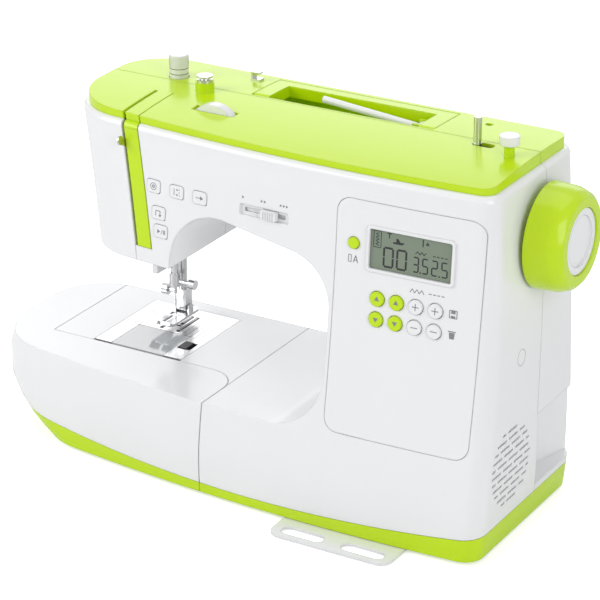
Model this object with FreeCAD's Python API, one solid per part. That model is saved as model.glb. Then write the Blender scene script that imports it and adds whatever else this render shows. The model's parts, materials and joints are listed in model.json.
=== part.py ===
import FreeCAD, Part
import math
import os

V = FreeCAD.Vector

# Overall frame: +X to the user's right, -Y to the user, +Z up, Z 0 on the table
BACK = 88.0
CHART_TIP = -88.0
BASE_Z = 3.0
BED_TOP = 69.0
HEAD_BOTTOM = 155.0
HOUSING_TOP = 250.0
WALL = 3.0
SEAM = 0.3
RUNNING = 0.05
SLIDING = 0.4

# Outer skin: a lower hull up to JOIN_Z and an upper block above it
JOIN_Z = 58.0
FRONT_TOP_Y = -39.6
FRONT_LEAN = math.tan(math.radians(2.5))
FRONT_SIDE_RADIUS = 1305.0
FRONT_PLAN_RADIUS = 1450.0
FRONT_PLAN_X = 70.0
BASE_FRONT_Y = -64.0
BED_LEFT = -216.9
LEFT_SLOPE = 0.2
BASE_LEFT = -180.0
RIGHT = 193.2
RIGHT_SLOPE = -0.02
RIGHT_TOP = 185.0
BASE_RIGHT = 190.0
CORNER_FRONT_LEFT = 52.0
CORNER_BACK_LEFT = 42.0
CORNER_BACK_RIGHT = 16.0
CORNER_FRONT_RIGHT = 14.0
TOP_EDGE_RADIUS = 4.0
EDGE_STEPS = 3
LOW_SECTIONS = [9.0, 16.0, 25.0, 38.0, 58.0, 84.0, 110.0]
HIGH_SECTIONS = [110.0, 140.0, 170.0, 200.0, 230.0]

# Throat under the arm, and the leaning left end of the head
TOWER_LEFT = 72.5
ARCH_LEFT = -55.5
ARCH_Z_AT_ZERO = 196.3
ARCH_SLOPE = 0.16
TOWER_FOOT_RADIUS = 40.0
ARCH_RIGHT_RADIUS = 36.0
ARCH_LEFT_RADIUS = 38.0
HEAD_LEFT_TOP = -154.0
HEAD_LEFT_LEAN = 18.0 / 95.0
HEAD_FRONT_RADIUS = 48.0
HEAD_BACK_RADIUS = 40.0

# White and green boundary at the base, and the seams between the shells
BAND_LOW_Z = 10.0
BAND_LOW_X = 5.0
BAND_RADIUS = 1600.0
TABLE_RIGHT = -20.8
TABLE_SEAM_Y = -7.0
TABLE_SEAM_X = -178.0
TABLE_CORNER = 22.0
TABLE_WALL = 2.4
FREE_ARM_BOTTOM = 22.0
SPLIT_LOW_Y = 24.0
SPLIT_TOP_Y = 39.0
BED_ZONE_X = 30.0
BED_ZONE_Z = 110.0

# Top covers
COVER_LIP = 4.0
CROWN_FRONT_Z = 254.5
CROWN_MID_Z = 258.0
CROWN_BACK_Z = 256.5
COVER_WALL = 2.5
WELL_X0 = -39.5
WELL_X1 = 101.5
WELL_Y1 = 80.0
WELL_FLOOR_Z = 231.0
WELL_WALL = 2.0

# Thread slots in the head
STRIP_TOP_X = -92.0
STRIP_BOTTOM_X = -77.0
STRIP_BOTTOM_Z = 165.0
STRIP_WIDTH = 11.6
SLOT_LEFT_WIDTH = 2.4
SLOT_RIGHT_WIDTH = 0.8

# Needle, presser and hook
NEEDLE_X = -106.5
NEEDLE_Y = 44.0
PRESSER_Y = 54.0
BAR_RADIUS = 3.2
NEEDLE_TIP_Z = 76.5
NEEDLE_LENGTH = 24.0
CLAMP_HEIGHT = 10.0
CLAMP_RADIUS = 4.4
NEEDLE_RADIUS = 0.45
FOOT_SOLE_Z = 76.0
HOOK_Y = 26.0
HOOK_RADIUS = 17.4
HOOK_TOP = 61.0
HOOK_BOTTOM = 45.0
CASE_RADIUS = 14.0
BOBBIN_RADIUS = 10.2
BOBBIN_HEIGHT = 11.2

# Shafts and drive
SHAFT_Y = 30.0
SHAFT_Z = 206.0
SHAFT_RADIUS = 3.5
LOWER_Y = 45.5
LOWER_Z = 38.0
MOTOR_Y = 8.0
MOTOR_Z = 62.0
MOTOR_RADIUS = 23.0
BELT_THICKNESS = 1.6
BELT_WIDTH = 6.0
PULLEY_WIDTH = 8.0

# Handwheel
WHEEL_FACE_X = 217.0
WHEEL_BACK_X = 191.2
WHEEL_RADIUS = 36.0
WHEEL_FRONT_RADIUS = 32.5
CAP_RADIUS = 22.5
HUB_HOLE = 6.0
WHEEL_SIDES = 48
DISC_SIDES = 32
SMALL_SIDES = 20

# Needle plate and bobbin cover
PLATE_X0 = -144.0
PLATE_X1 = -71.0
PLATE_Y0 = TABLE_SEAM_Y + 2.0
PLATE_Y1 = 74.5
PLATE_THICK = 3.0
COVER_X0 = -130.0
COVER_X1 = -86.4
COVER_Y1 = 31.5
RELEASE_X0 = -84.6
RELEASE_X1 = -77.6
RELEASE_Y0 = 11.5
RELEASE_Y1 = 22.5
RELEASE_TRAVEL = 3.0

# Panel, display and buttons, placed by X and Z on the front skin
PANEL_X0 = 75.5
PANEL_X1 = 180.5
PANEL_Z0 = 74.0
PANEL_Z1 = 234.0
PANEL_CORNER = 10.0
DISPLAY_X = 129.4
DISPLAY_Z = 203.2
DISPLAY_WIDTH = 58.7
DISPLAY_HEIGHT = 27.0
BEZEL = 2.2
BEZEL_RAISE = 0.8
BUTTON_RADIUS = 5.0
BUTTON_SPACING = 3.9
BUTTON_PITCH = 2 * BUTTON_RADIUS + BUTTON_SPACING
BUTTON_RAISE = 1.2
BUTTON_GAP = 0.3
BUTTON_SIDES = 24
BUTTON_X = 107.7
BUTTON_Z = 170.0
MODE_X = 88.5
MODE_Z = 204.4
MODE_RADIUS = 3.9
KEY_WIDTH = 11.2
KEY_HEIGHT = 9.0
KEY_CORNER = 2.0
KEYS = {"thread_lock_button": (-70.5, 210.2), "needle_stop_button": (-50.9, 210.2),
        "slow_sew_button": (-31.7, 210.2), "reverse_button": (-65.7, 192.2),
        "start_stop_button": (-63.5, 179.6)}
PANEL_BUTTONS = ["pattern_tens_up_button", "pattern_units_up_button", "width_plus_button", "length_plus_button",
                 "pattern_tens_down_button", "pattern_units_down_button", "width_minus_button",
                 "length_minus_button"]
SPEED_SLOT_X = 19.6
SPEED_SLOT_Z = 210.0
SPEED_SLOT_LENGTH = 38.0
SPEED_SLOT_HEIGHT = 7.6
SPEED_KNOB_X = 24.1
SPEED_KNOB_WIDTH = 12.0
SPEED_KNOB_HEIGHT = 6.4

# Top fittings
TENSION_X = -44.0
TENSION_Y = 1.5
TENSION_RADIUS = 19.0
TENSION_WIDTH = 7.0
TENSION_RISE = 4.6
DIAL_RADIUS = 6.8
DIAL_HEIGHT = 16.7
DIAL_X = -102.7
DIAL_Y = 48.0
SPINDLE_X = 138.5
SPINDLE_Y = 32.0
SPINDLE_TRAVEL = 9.0
SPINDLE_RADIUS = 2.7
SPINDLE_HEIGHT = 19.0
STOPPER_X = 166.0
STOPPER_Y = 23.0
SPOOL_Y = 61.0
SPOOL_PIVOT_X = 82.0
SPOOL_PIVOT_Z = 250.0
SPOOL_LENGTH = 76.0
SPOOL_RADIUS = 2.5
SPOOL_TILT = 5.0
SPARE_PIN_X = 128.0
SPARE_PIN_Y = 70.0
SPARE_PIN_RADIUS = 2.6
SPARE_PIN_DEPTH = 10.0
HANDLE_ARM = 12.4
HANDLE_GRIP = 9.0
HANDLE_THICK = 9.0
HANDLE_PIVOT_Y = 46.0
HANDLE_PIVOT_Z = 254.0
HANDLE_PIN_RADIUS = 2.5

# Side and base fittings
NOTCH_X = 177.0
NOTCH_TOP = 79.5
NOTCH_BOTTOM = 26.0
NOTCH_FLAT_Y = 52.0
NOTCH_SLOPE = 0.283
INLET_Y0 = 36.5
INLET_Y1 = 49.5
INLET_Z0 = 53.5
INLET_Z1 = 74.5
VENT_Y = -15.0
VENT_Z = 58.0
VENT_HALF_Y = 28.0
VENT_HALF_Z = 28.0
VENT_PITCH = 5.0
VENT_SLOT = 1.5
FOOT_RADIUS = 9.0
CHART_X0 = 48.0
CHART_X1 = 140.0
CHART_THICK = 1.5
CHART_Z = 1.1
CHART_BACK = 40.0


def box(x0, x1, y0, y1, z0, z1):
    return Part.makeBox(x1 - x0, y1 - y0, z1 - z0, V(x0, y0, z0))


def cyl(radius, start, end):
    axis = end - start
    return Part.makeCylinder(radius, axis.Length, start, axis)


def facet_wire(radius, sides, place):
    """Regular polygon of radius with its corners on the circle."""
    turns = [2 * math.pi * (i + 0.5) / sides for i in range(sides)]
    corners = [place(radius * math.cos(t), radius * math.sin(t)) for t in turns]
    return Part.makePolygon(corners + corners[:1])


def post(radius, x, y, z0, z1, sides=0):
    """Upright bar: a true cylinder, or a prism of sides where nothing turns against it."""
    if not sides:
        return cyl(radius, V(x, y, z0), V(x, y, z1))
    face = Part.Face(facet_wire(radius, sides, lambda a, b: V(x + a, y + b, z0)))
    return face.extrude(V(0, 0, z1 - z0))


def along_x(radius, y, z, x0, x1, sides=0):
    """Bar along X, round or with sides."""
    if not sides:
        return cyl(radius, V(x0, y, z), V(x1, y, z))
    face = Part.Face(facet_wire(radius, sides, lambda a, b: V(x0, y + a, z + b)))
    return face.extrude(V(x1 - x0, 0, 0))


def along_y(radius, x, z, y0, y1, sides=0):
    """Bar along Y, round or with sides."""
    if not sides:
        return cyl(radius, V(x, y0, z), V(x, y1, z))
    face = Part.Face(facet_wire(radius, sides, lambda a, b: V(x + a, y0, z + b)))
    return face.extrude(V(0, y1 - y0, 0))


def rounded_face(points, radii, place):
    """Polygon whose corners are rounded by radii, put into space by place."""
    starts, ends, mids = [], [], []
    count = len(points)
    for i, radius in enumerate(radii):
        p = V(points[i][0], points[i][1], 0)
        before = V(points[i - 1][0], points[i - 1][1], 0) - p
        after = V(points[(i + 1) % count][0], points[(i + 1) % count][1], 0) - p
        before.normalize()
        after.normalize()
        if radius <= 0:
            starts.append(p)
            ends.append(p)
            mids.append(None)
            continue
        half = before.getAngle(after) / 2
        middle = before + after
        middle.normalize()
        starts.append(p + before * (radius / math.tan(half)))
        ends.append(p + after * (radius / math.tan(half)))
        mids.append(p + middle * (radius / math.sin(half) - radius))
    edges = []
    for i in range(count):
        if mids[i] is not None:
            edges.append(Part.Arc(place(starts[i]), place(mids[i]), place(ends[i])).toShape())
        following = starts[(i + 1) % count]
        if ends[i].distanceToPoint(following) > 1e-6:
            edges.append(Part.makeLine(place(ends[i]), place(following)))
    return Part.Face(Part.Wire(edges))


def prism_xz(points, radii, y0=-150.0, y1=150.0):
    face = rounded_face(points, radii, lambda p: V(p.x, y0, p.y))
    return face.extrude(V(0, y1 - y0, 0))


def prism_yz(points, radii, x0=-260.0, x1=260.0):
    face = rounded_face(points, radii, lambda p: V(x0, p.x, p.y))
    return face.extrude(V(x1 - x0, 0, 0))


def prism_xy(points, radii, z0, z1):
    face = rounded_face(points, radii, lambda p: V(p.x, p.y, z0))
    return face.extrude(V(0, 0, z1 - z0))


def rounded_rect(width, height, corner, z0, z1):
    w, h = width / 2, height / 2
    return prism_xy([(-w, -h), (w, -h), (w, h), (-w, h)], [corner] * 4, z0, z1)


# Outer skin
def eased(z, value, slope, far_z, far_value):
    """Parabola that leaves JOIN_Z at value and slope and reaches far_value at far_z."""
    step = z - JOIN_Z
    reach = far_z - JOIN_Z
    bend = (far_value - value - slope * reach) / reach ** 2
    return value + slope * step + bend * step ** 2


def front_line(z):
    if z < JOIN_Z:
        slope = FRONT_LEAN + (HOUSING_TOP - JOIN_Z) / FRONT_SIDE_RADIUS
        return eased(z, front_line(JOIN_Z), slope, BASE_Z, BASE_FRONT_Y)
    drop = HOUSING_TOP - z
    return FRONT_TOP_Y - drop * FRONT_LEAN - drop ** 2 / (2 * FRONT_SIDE_RADIUS)


def left_line(z):
    if z < JOIN_Z:
        return eased(z, BED_LEFT, LEFT_SLOPE, BASE_Z, BASE_LEFT)
    return BED_LEFT + LEFT_SLOPE * (z - JOIN_Z)


def right_line(z):
    if z < JOIN_Z:
        return eased(z, RIGHT, RIGHT_SLOPE, BASE_Z, BASE_RIGHT)
    return eased(z, RIGHT, RIGHT_SLOPE, HOUSING_TOP, RIGHT_TOP)


def skin_y(x, z):
    """Y of the front skin at X and Z."""
    return front_line(z) + (x - FRONT_PLAN_X) ** 2 / (2 * FRONT_PLAN_RADIUS)


def outline(z, inset, left=None, corners=(CORNER_FRONT_LEFT, CORNER_BACK_LEFT)):
    """Plan outline of the skin at height z, moved in by inset; left and its corners may be given."""
    left = left_line(z) + inset if left is None else left + inset
    right = right_line(z) - inset
    back = BACK - inset
    bow = FRONT_PLAN_RADIUS - inset
    centre = V(FRONT_PLAN_X, front_line(z) + FRONT_PLAN_RADIUS, z)

    def front_corner(x, radius):
        across = x - FRONT_PLAN_X
        ahead = -math.sqrt((bow - radius) ** 2 - across ** 2)
        offset = V(across, ahead, 0)
        return centre + offset, centre + offset * (bow / (bow - radius))

    def arc(middle, radius, start, end):
        outward = (start - middle) + (end - middle)
        outward.normalize()
        return Part.Arc(start, middle + outward * radius, end).toShape()

    left_r = corners[0] - inset
    right_r = CORNER_FRONT_RIGHT - inset
    back_right_r = CORNER_BACK_RIGHT - inset
    back_left_r = corners[1] - inset
    left_middle, left_touch = front_corner(left + left_r, left_r)
    right_middle, right_touch = front_corner(right - right_r, right_r)
    left_end = V(left, left_middle.y, z)
    right_end = V(right, right_middle.y, z)
    back_right = V(right - back_right_r, back - back_right_r, z)
    back_left = V(left + back_left_r, back - back_left_r, z)
    right_back = V(right, back_right.y, z)
    right_corner = V(back_right.x, back, z)
    left_corner = V(back_left.x, back, z)
    left_back = V(left, back_left.y, z)
    edges = [
        arc(left_middle, left_r, left_end, left_touch),
        arc(centre, bow, left_touch, right_touch),
        arc(right_middle, right_r, right_touch, right_end),
        Part.makeLine(right_end, right_back),
        arc(back_right, back_right_r, right_back, right_corner),
        Part.makeLine(right_corner, left_corner),
        arc(back_left, back_left_r, left_corner, left_back),
        Part.makeLine(left_back, left_end),
    ]
    return Part.Wire(edges)


def throat(offset):
    """Space under the arm, grown by offset."""
    left = ARCH_LEFT - offset
    right = TOWER_LEFT + offset
    grow = offset * math.sqrt(1 + ARCH_SLOPE ** 2)

    def arch_z(x):
        return ARCH_Z_AT_ZERO - ARCH_SLOPE * x + grow

    points = [(-260, BED_TOP - offset), (right, BED_TOP - offset), (right, arch_z(right)), (left, arch_z(left)),
              (left, HEAD_BOTTOM + offset), (-260, HEAD_BOTTOM + offset)]
    radii = [0, TOWER_FOOT_RADIUS + offset, ARCH_RIGHT_RADIUS + offset, ARCH_LEFT_RADIUS + offset, 0, 0]
    return prism_xz(points, radii)


def head_left(z):
    return HEAD_LEFT_TOP + (HOUSING_TOP - z) * HEAD_LEFT_LEAN


def head_outline(z, inset):
    return outline(z, inset, head_left(z), (HEAD_FRONT_RADIUS, HEAD_BACK_RADIUS))


def body(inset, edge_radius):
    """The whole skin as one solid, moved in by inset, its top edge rounded in short steps."""
    low = [BASE_Z + inset] + [z for z in LOW_SECTIONS if z > BASE_Z + inset + 1]
    lower = Part.makeLoft([outline(z, inset) for z in low], True, True)
    sections = [head_outline(z, inset) for z in HIGH_SECTIONS]
    top = HOUSING_TOP - inset
    for step in range(EDGE_STEPS + 1):
        turn = math.radians(90.0 * step / EDGE_STEPS)
        if edge_radius > 0 or step == EDGE_STEPS:
            z = top - edge_radius * (1 - math.sin(turn))
            sections.append(head_outline(z, inset + edge_radius * (1 - math.cos(turn))))
    upper = Part.makeLoft(sections, True, True)
    opening = throat(inset)
    return lower.cut(opening).fuse(upper.cut(opening))


outer = body(0.0, TOP_EDGE_RADIUS)
inner = body(WALL, 0.0)


# Cutting regions
def below_band(lift):
    """Everything under the arc where white meets green, raised by lift."""
    reach = 260.0
    rise = reach ** 2 / (2 * BAND_RADIUS)
    left = V(BAND_LOW_X - reach, -150, BAND_LOW_Z + rise + lift)
    right = V(BAND_LOW_X + reach, -150, BAND_LOW_Z + rise + lift)
    low = V(BAND_LOW_X, -150, BAND_LOW_Z + lift)
    floor_left = V(left.x, -150, -20)
    floor_right = V(right.x, -150, -20)
    edges = [Part.Arc(left, low, right).toShape(), Part.makeLine(right, floor_right),
             Part.makeLine(floor_right, floor_left), Part.makeLine(floor_left, left)]
    return Part.Face(Part.Wire(edges)).extrude(V(0, 300, 0))


def table_region(offset):
    """Plan region of the slide-off extension table, moved in by offset."""
    right = TABLE_RIGHT - offset
    seam_y = TABLE_SEAM_Y - offset
    seam_x = TABLE_SEAM_X - offset
    points = [(-260, -150), (right, -150), (right, seam_y), (seam_x, seam_y), (seam_x, 150), (-260, 150)]
    return prism_xy(points, [0, 0, TABLE_CORNER - offset, 0, 0, 0], -10, HEAD_BOTTOM - 20)


def front_region(offset):
    """Everything in front of the housing's split, moved forward by offset."""
    low = SPLIT_LOW_Y - offset
    top = SPLIT_TOP_Y - offset
    lid = HOUSING_TOP + 40
    return prism_yz([(-150, -20), (low, -20), (low, NOTCH_TOP + 5), (top, HOUSING_TOP - 10), (top, lid), (-150, lid)],
                    [0] * 6)


def strip_x(z):
    lean = (STRIP_BOTTOM_X - STRIP_TOP_X) / (HOUSING_TOP - STRIP_BOTTOM_Z)
    return STRIP_TOP_X + (HOUSING_TOP - z) * lean


def strip_slab(left, right, z0, z1):
    """Leaning slab along the thread slots, from left to right of the strip's middle."""
    points = [(strip_x(z0) + left, z0), (strip_x(z0) + right, z0), (strip_x(z1) + right, z1), (strip_x(z1) + left, z1)]
    return prism_xz(points, [0] * 4, -150, SHAFT_Y)


def skin_frame(x, z):
    """Placement on the front skin at X and Z: local Z points out, local X to the right."""
    across = (x - FRONT_PLAN_X) / FRONT_PLAN_RADIUS
    step = 0.5
    upward = (front_line(z + step) - front_line(z - step)) / (2 * step)
    out = V(across, -1, upward)
    out.normalize()
    right = V(1, across, 0)
    right.normalize()
    up = out.cross(right)
    turn = FreeCAD.Rotation(right, up, out, "ZXY")
    return FreeCAD.Placement(V(x, skin_y(x, z), z), turn)


def on_skin(shape, x, z):
    placed = shape.copy()
    placed.Placement = skin_frame(x, z)
    return placed


# Buttons: a cap through the skin with a retaining flange behind it
def button(outline_solid, flange_solid):
    return outline_solid.fuse(flange_solid).removeSplitter()


def round_button(radius):
    cap = post(radius, 0, 0, -WALL - 0.8, BUTTON_RAISE, BUTTON_SIDES)
    flange = post(radius + 1.0, 0, 0, -WALL - 1.6, -WALL - 0.6, BUTTON_SIDES // 2)
    return button(cap, flange)


def round_hole(radius):
    """Hole that leaves BUTTON_GAP round a button of radius."""
    return post((radius + BUTTON_GAP) / math.cos(math.pi / BUTTON_SIDES), 0, 0, -10, 10, BUTTON_SIDES)


def key_button():
    cap = rounded_rect(KEY_WIDTH, KEY_HEIGHT, KEY_CORNER, -WALL - 0.8, BUTTON_RAISE / 2)
    w, h = KEY_WIDTH / 2 + 0.9, KEY_HEIGHT / 2 + 0.9
    return button(cap, box(-w, w, -h, h, -WALL - 1.6, -WALL - 0.6))


nodes = {}
panel_holes = []
key_holes = []
for index, name in enumerate(PANEL_BUTTONS):
    column = index % 4
    row = index // 4
    bx = BUTTON_X + column * BUTTON_PITCH
    bz = BUTTON_Z - row * BUTTON_PITCH
    nodes[name] = on_skin(round_button(BUTTON_RADIUS), bx, bz)
    panel_holes.append(on_skin(round_hole(BUTTON_RADIUS), bx, bz))
nodes["mode_button"] = on_skin(round_button(MODE_RADIUS), MODE_X, MODE_Z)
panel_holes.append(on_skin(round_hole(MODE_RADIUS), MODE_X, MODE_Z))
for name, (kx, kz) in KEYS.items():
    nodes[name] = on_skin(key_button(), kx, kz)
    hole = rounded_rect(KEY_WIDTH + 2 * BUTTON_GAP, KEY_HEIGHT + 2 * BUTTON_GAP, KEY_CORNER + BUTTON_GAP, -10, 10)
    key_holes.append(on_skin(hole, kx, kz))

# Rear corner notch for the power inlet


def notch_block(offset):
    """Space of the corner notch, grown into the body by offset; its inner wall turns outward behind the inlet."""
    wall_x = NOTCH_X - offset
    far_x = wall_x + NOTCH_SLOPE * (150 - NOTCH_FLAT_Y)
    plan = [(wall_x, SPLIT_LOW_Y - offset), (260, SPLIT_LOW_Y - offset), (260, 150), (far_x, 150), (wall_x, NOTCH_FLAT_Y)]
    return prism_xy(plan, [0, 0, 0, 0, 0], NOTCH_BOTTOM - offset, NOTCH_TOP + offset)


notch = notch_block(0.0)
notch_wall = notch_block(WALL)
skin = outer.cut(notch).cut(inner.cut(notch_wall))

# Base tray with a floor, side walls and rails for the stitch chart
base_side = box(TABLE_RIGHT, 260, -150, 150, -5, 120)
base_hollow = inner.common(box(TABLE_RIGHT + WALL, 260, -150, 150, -5, 120))
base_tray = outer.common(below_band(0.0)).common(base_side).cut(base_hollow).cut(notch)
chart_top = CHART_Z + CHART_THICK
rails = []
for edge_x, side in ((CHART_X0, -1), (CHART_X1, 1)):
    web = sorted((edge_x + side * SLIDING, edge_x + side * (SLIDING + 1.6)))
    lip = sorted((edge_x - side * 3.0, edge_x + side * (SLIDING + 1.6)))
    rails.append(box(web[0], web[1], -45, CHART_BACK, 0.4, BASE_Z))
    rails.append(box(lip[0], lip[1], -45, CHART_BACK, 0.3, CHART_Z - SEAM))
FRAME_PADS = [(10, -25), (165, -25), (10, 65), (165, 65)]
pads = [box(px - 6, px + 6, py - 6, py + 6, BASE_Z + WALL - 0.5, 9.0) for px, py in FRAME_PADS]
nodes["base_tray"] = base_tray.multiFuse(rails + pads).removeSplitter()
FEET = [(2, -40), (178, -40), (2, 70), (170, 70)]
nodes["rubber_feet"] = Part.makeCompound([post(FOOT_RADIUS, fx, fy, 0, BASE_Z, SMALL_SIDES) for fx, fy in FEET])

# White shells above the band
white = skin.cut(below_band(SEAM))
table_shell = skin.common(table_region(SLIDING))
seam_wall = inner.common(table_region(SLIDING).cut(table_region(SLIDING + TABLE_WALL)))
table_all = table_shell.fuse(seam_wall).cut(box(-260, TABLE_SEAM_X - SLIDING - TABLE_WALL, -150, 150, 0, 5).cut(outer))
nodes["extension_table"] = table_all.cut(below_band(SEAM))
nodes["extension_base"] = table_all.common(below_band(0.0))

free_arm_walls = inner.common(table_region(-WALL).cut(table_region(0.0)))
free_arm_floor = inner.common(box(TABLE_SEAM_X, TABLE_RIGHT + WALL, TABLE_SEAM_Y, 150, FREE_ARM_BOTTOM, FREE_ARM_BOTTOM + WALL))
foot_wall = inner.common(box(TABLE_RIGHT, TABLE_RIGHT + WALL, -150, 150, 0, FREE_ARM_BOTTOM + WALL)).cut(below_band(SEAM))
housing = white.fuse(free_arm_walls).fuse(free_arm_floor).cut(table_region(0.0)).fuse(foot_wall.cut(table_region(0.0)))
housing = housing.cut(box(-260, TABLE_RIGHT, -150, 150, -5, FREE_ARM_BOTTOM))

# Openings in the shells
plate_cut = box(PLATE_X0 - SEAM, PLATE_X1 + SEAM, TABLE_SEAM_Y - 1, PLATE_Y1 + SEAM, BED_TOP - WALL - 1, BED_TOP + 1)
head_bore = box(NEEDLE_X - 20, NEEDLE_X + 16, NEEDLE_Y - 12, PRESSER_Y + 14, HEAD_BOTTOM - 1, HEAD_BOTTOM + WALL + 1)


def cover_outline(inset):
    """Face at the housing's top, moved in from its outline by inset."""
    return Part.Face(head_outline(HOUSING_TOP, inset))


top_opening = cover_outline(COVER_LIP + 1.5).extrude(V(0, 0, -20))
wheel_bore = along_x(HUB_HOLE, SHAFT_Y, SHAFT_Z, RIGHT_TOP - 10, 260)
lifter_slot = box(NEEDLE_X - 4, NEEDLE_X + 40, BACK - 19, BACK + 5, HEAD_BOTTOM - 1, HEAD_BOTTOM + 16)
housing = housing.cut(below_band(SEAM)).cut(plate_cut).cut(head_bore).cut(top_opening).cut(wheel_bore).cut(lifter_slot)

# Housing pieces
panel_block = prism_xz([(PANEL_X0, PANEL_Z0), (PANEL_X1, PANEL_Z0), (PANEL_X1, PANEL_Z1), (PANEL_X0, PANEL_Z1)],
                       [PANEL_CORNER] * 4, -150, 0)
panel_gap = prism_xz([(PANEL_X0 - SEAM, PANEL_Z0 - SEAM), (PANEL_X1 + SEAM, PANEL_Z0 - SEAM),
                      (PANEL_X1 + SEAM, PANEL_Z1 + SEAM), (PANEL_X0 - SEAM, PANEL_Z1 + SEAM)],
                     [PANEL_CORNER + SEAM] * 4, -150, 0)
bed_zone = box(-260, BED_ZONE_X, -150, 150, -5, BED_ZONE_Z)
front_all = housing.common(front_region(0.0).fuse(bed_zone))
rear_all = housing.cut(front_region(-SEAM)).cut(bed_zone.fuse(box(BED_ZONE_X - 1, BED_ZONE_X + SEAM, -150, 150, -5, BED_ZONE_Z)))
half = STRIP_WIDTH / 2
slots = strip_slab(-half - SLOT_LEFT_WIDTH, half + SLOT_RIGHT_WIDTH, STRIP_BOTTOM_Z, HOUSING_TOP + 5)
chin_seam = strip_slab(-half - SLOT_LEFT_WIDTH, -half - SLOT_LEFT_WIDTH + SEAM, HEAD_BOTTOM - 5, STRIP_BOTTOM_Z + 1)
left_part = strip_slab(-120, -half - SLOT_LEFT_WIDTH, HEAD_BOTTOM - 5, HOUSING_TOP + 5)
left_part = left_part.fuse(box(-200, -110, SHAFT_Y - 1, 100, HEAD_BOTTOM - 5, HOUSING_TOP + 5))
head_front = front_all.cut(slots).cut(chin_seam)
nodes["face_cover"] = head_front.common(left_part)
face_gap = left_part.cut(box(-200, 0, -150, 150, -5, HEAD_BOTTOM - 4))
front_housing = head_front.cut(left_part).cut(panel_gap)

# Free arm cover: the bed's own shell, butted to the tower where the extension table ends
nodes["free_arm_cover"] = front_housing.common(box(-260, TABLE_RIGHT, -150, 150, -5, BED_ZONE_Z))
front_housing = front_housing.cut(box(-260, TABLE_RIGHT + SEAM, -150, 150, -5, BED_ZONE_Z))
strip = strip_slab(-half, half, STRIP_BOTTOM_Z + SEAM, HOUSING_TOP - TOP_EDGE_RADIUS)
nodes["thread_slot_cover"] = front_all.common(strip)

# Speed slot: a shallow recess with a slit for the slider's stem
recess = on_skin(rounded_rect(SPEED_SLOT_LENGTH, SPEED_SLOT_HEIGHT, 1.5, -1.8, 6), SPEED_SLOT_X, SPEED_SLOT_Z)
slit = on_skin(rounded_rect(SPEED_SLOT_LENGTH - 6, 3.0, 0.5, -8, 6), SPEED_SLOT_X, SPEED_SLOT_Z)
front_housing = front_housing.cut(recess).cut(slit)
for hole in key_holes:
    front_housing = front_housing.cut(hole)

# Vent rows on the right side, staggered inside an oval
vents = []
row = -int(VENT_HALF_Z / VENT_PITCH)
while row * VENT_PITCH <= VENT_HALF_Z:
    slot_z = VENT_Z + row * VENT_PITCH
    reach = VENT_HALF_Y * math.sqrt(max(0.0, 1 - (row * VENT_PITCH / VENT_HALF_Z) ** 2))
    shift = (row % 2) * 8.0
    slot_y = -reach - shift
    while slot_y < reach:
        y0 = max(slot_y, -reach)
        y1 = min(slot_y + 13.0, reach)
        if y1 - y0 > 3.0:
            vents.append(box(BASE_RIGHT - 6, RIGHT + 5, VENT_Y + y0, VENT_Y + y1, slot_z, slot_z + VENT_SLOT))
        slot_y += 16.0
    row += 1
nodes["front_housing"] = front_housing.cut(Part.makeCompound(vents))
inlet_hole = box(NOTCH_X - 20, NOTCH_X + 1, INLET_Y0 - SEAM, INLET_Y1 + SEAM, INLET_Z0 - SEAM, INLET_Z1 + SEAM)
nodes["rear_housing"] = rear_all.cut(inlet_hole)

# Power inlet: a moulded block with a socket well and two pins
inlet = box(NOTCH_X - 13, NOTCH_X + 0.8, INLET_Y0, INLET_Y1, INLET_Z0, INLET_Z1)
inlet_mid_y = (INLET_Y0 + INLET_Y1) / 2
inlet_mid_z = (INLET_Z0 + INLET_Z1) / 2
well = box(NOTCH_X - 11, NOTCH_X + 2, INLET_Y0 + 2.5, INLET_Y1 - 2.5, INLET_Z0 + 2.5, INLET_Z1 - 2.5)
prongs = [along_x(1.2, inlet_mid_y, inlet_mid_z + dz, NOTCH_X - 11.5, NOTCH_X - 2) for dz in (-4.3, 4.3)]
nodes["power_inlet"] = inlet.cut(well).multiFuse(prongs)

# Control panel with its raised display frame
panel = front_all.common(panel_block)
window = on_skin(rounded_rect(DISPLAY_WIDTH, DISPLAY_HEIGHT, 1.5, -10, 10), DISPLAY_X, DISPLAY_Z)
bezel = on_skin(rounded_rect(DISPLAY_WIDTH + 2 * BEZEL, DISPLAY_HEIGHT + 2 * BEZEL, 3.0, -WALL, BEZEL_RAISE),
                DISPLAY_X, DISPLAY_Z)
panel = panel.fuse(bezel).cut(window)
for hole in panel_holes:
    panel = panel.cut(hole)
nodes["control_panel"] = panel
glass = rounded_rect(DISPLAY_WIDTH - 2 * SEAM, DISPLAY_HEIGHT - 2 * SEAM, 1.2, -3.6, -1.0)
nodes["display"] = on_skin(glass, DISPLAY_X, DISPLAY_Z)


# Top covers under one crowned surface
def crown(lower):
    front_y, mid_y, back_y = -60.0, 20.0, 110.0
    fit_front, fit_back = -38.0, 85.0
    bend_front = (CROWN_MID_Z - CROWN_FRONT_Z) / (fit_front - mid_y) ** 2
    bend_back = (CROWN_MID_Z - CROWN_BACK_Z) / (fit_back - mid_y) ** 2
    z_front = CROWN_MID_Z - bend_front * (front_y - mid_y) ** 2 - lower
    z_back = CROWN_MID_Z - bend_back * (back_y - mid_y) ** 2 - lower
    x0 = -260.0
    peak = V(x0, mid_y, CROWN_MID_Z - lower)
    start = V(x0, front_y, z_front)
    end = V(x0, back_y, z_back)
    floor = HOUSING_TOP - 40
    edges = [Part.Arc(start, peak, end).toShape(), Part.makeLine(end, V(x0, back_y, floor)),
             Part.makeLine(V(x0, back_y, floor), V(x0, front_y, floor)), Part.makeLine(V(x0, front_y, floor), start)]
    return Part.Face(Part.Wire(edges)).extrude(V(520, 0, 0))


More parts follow.
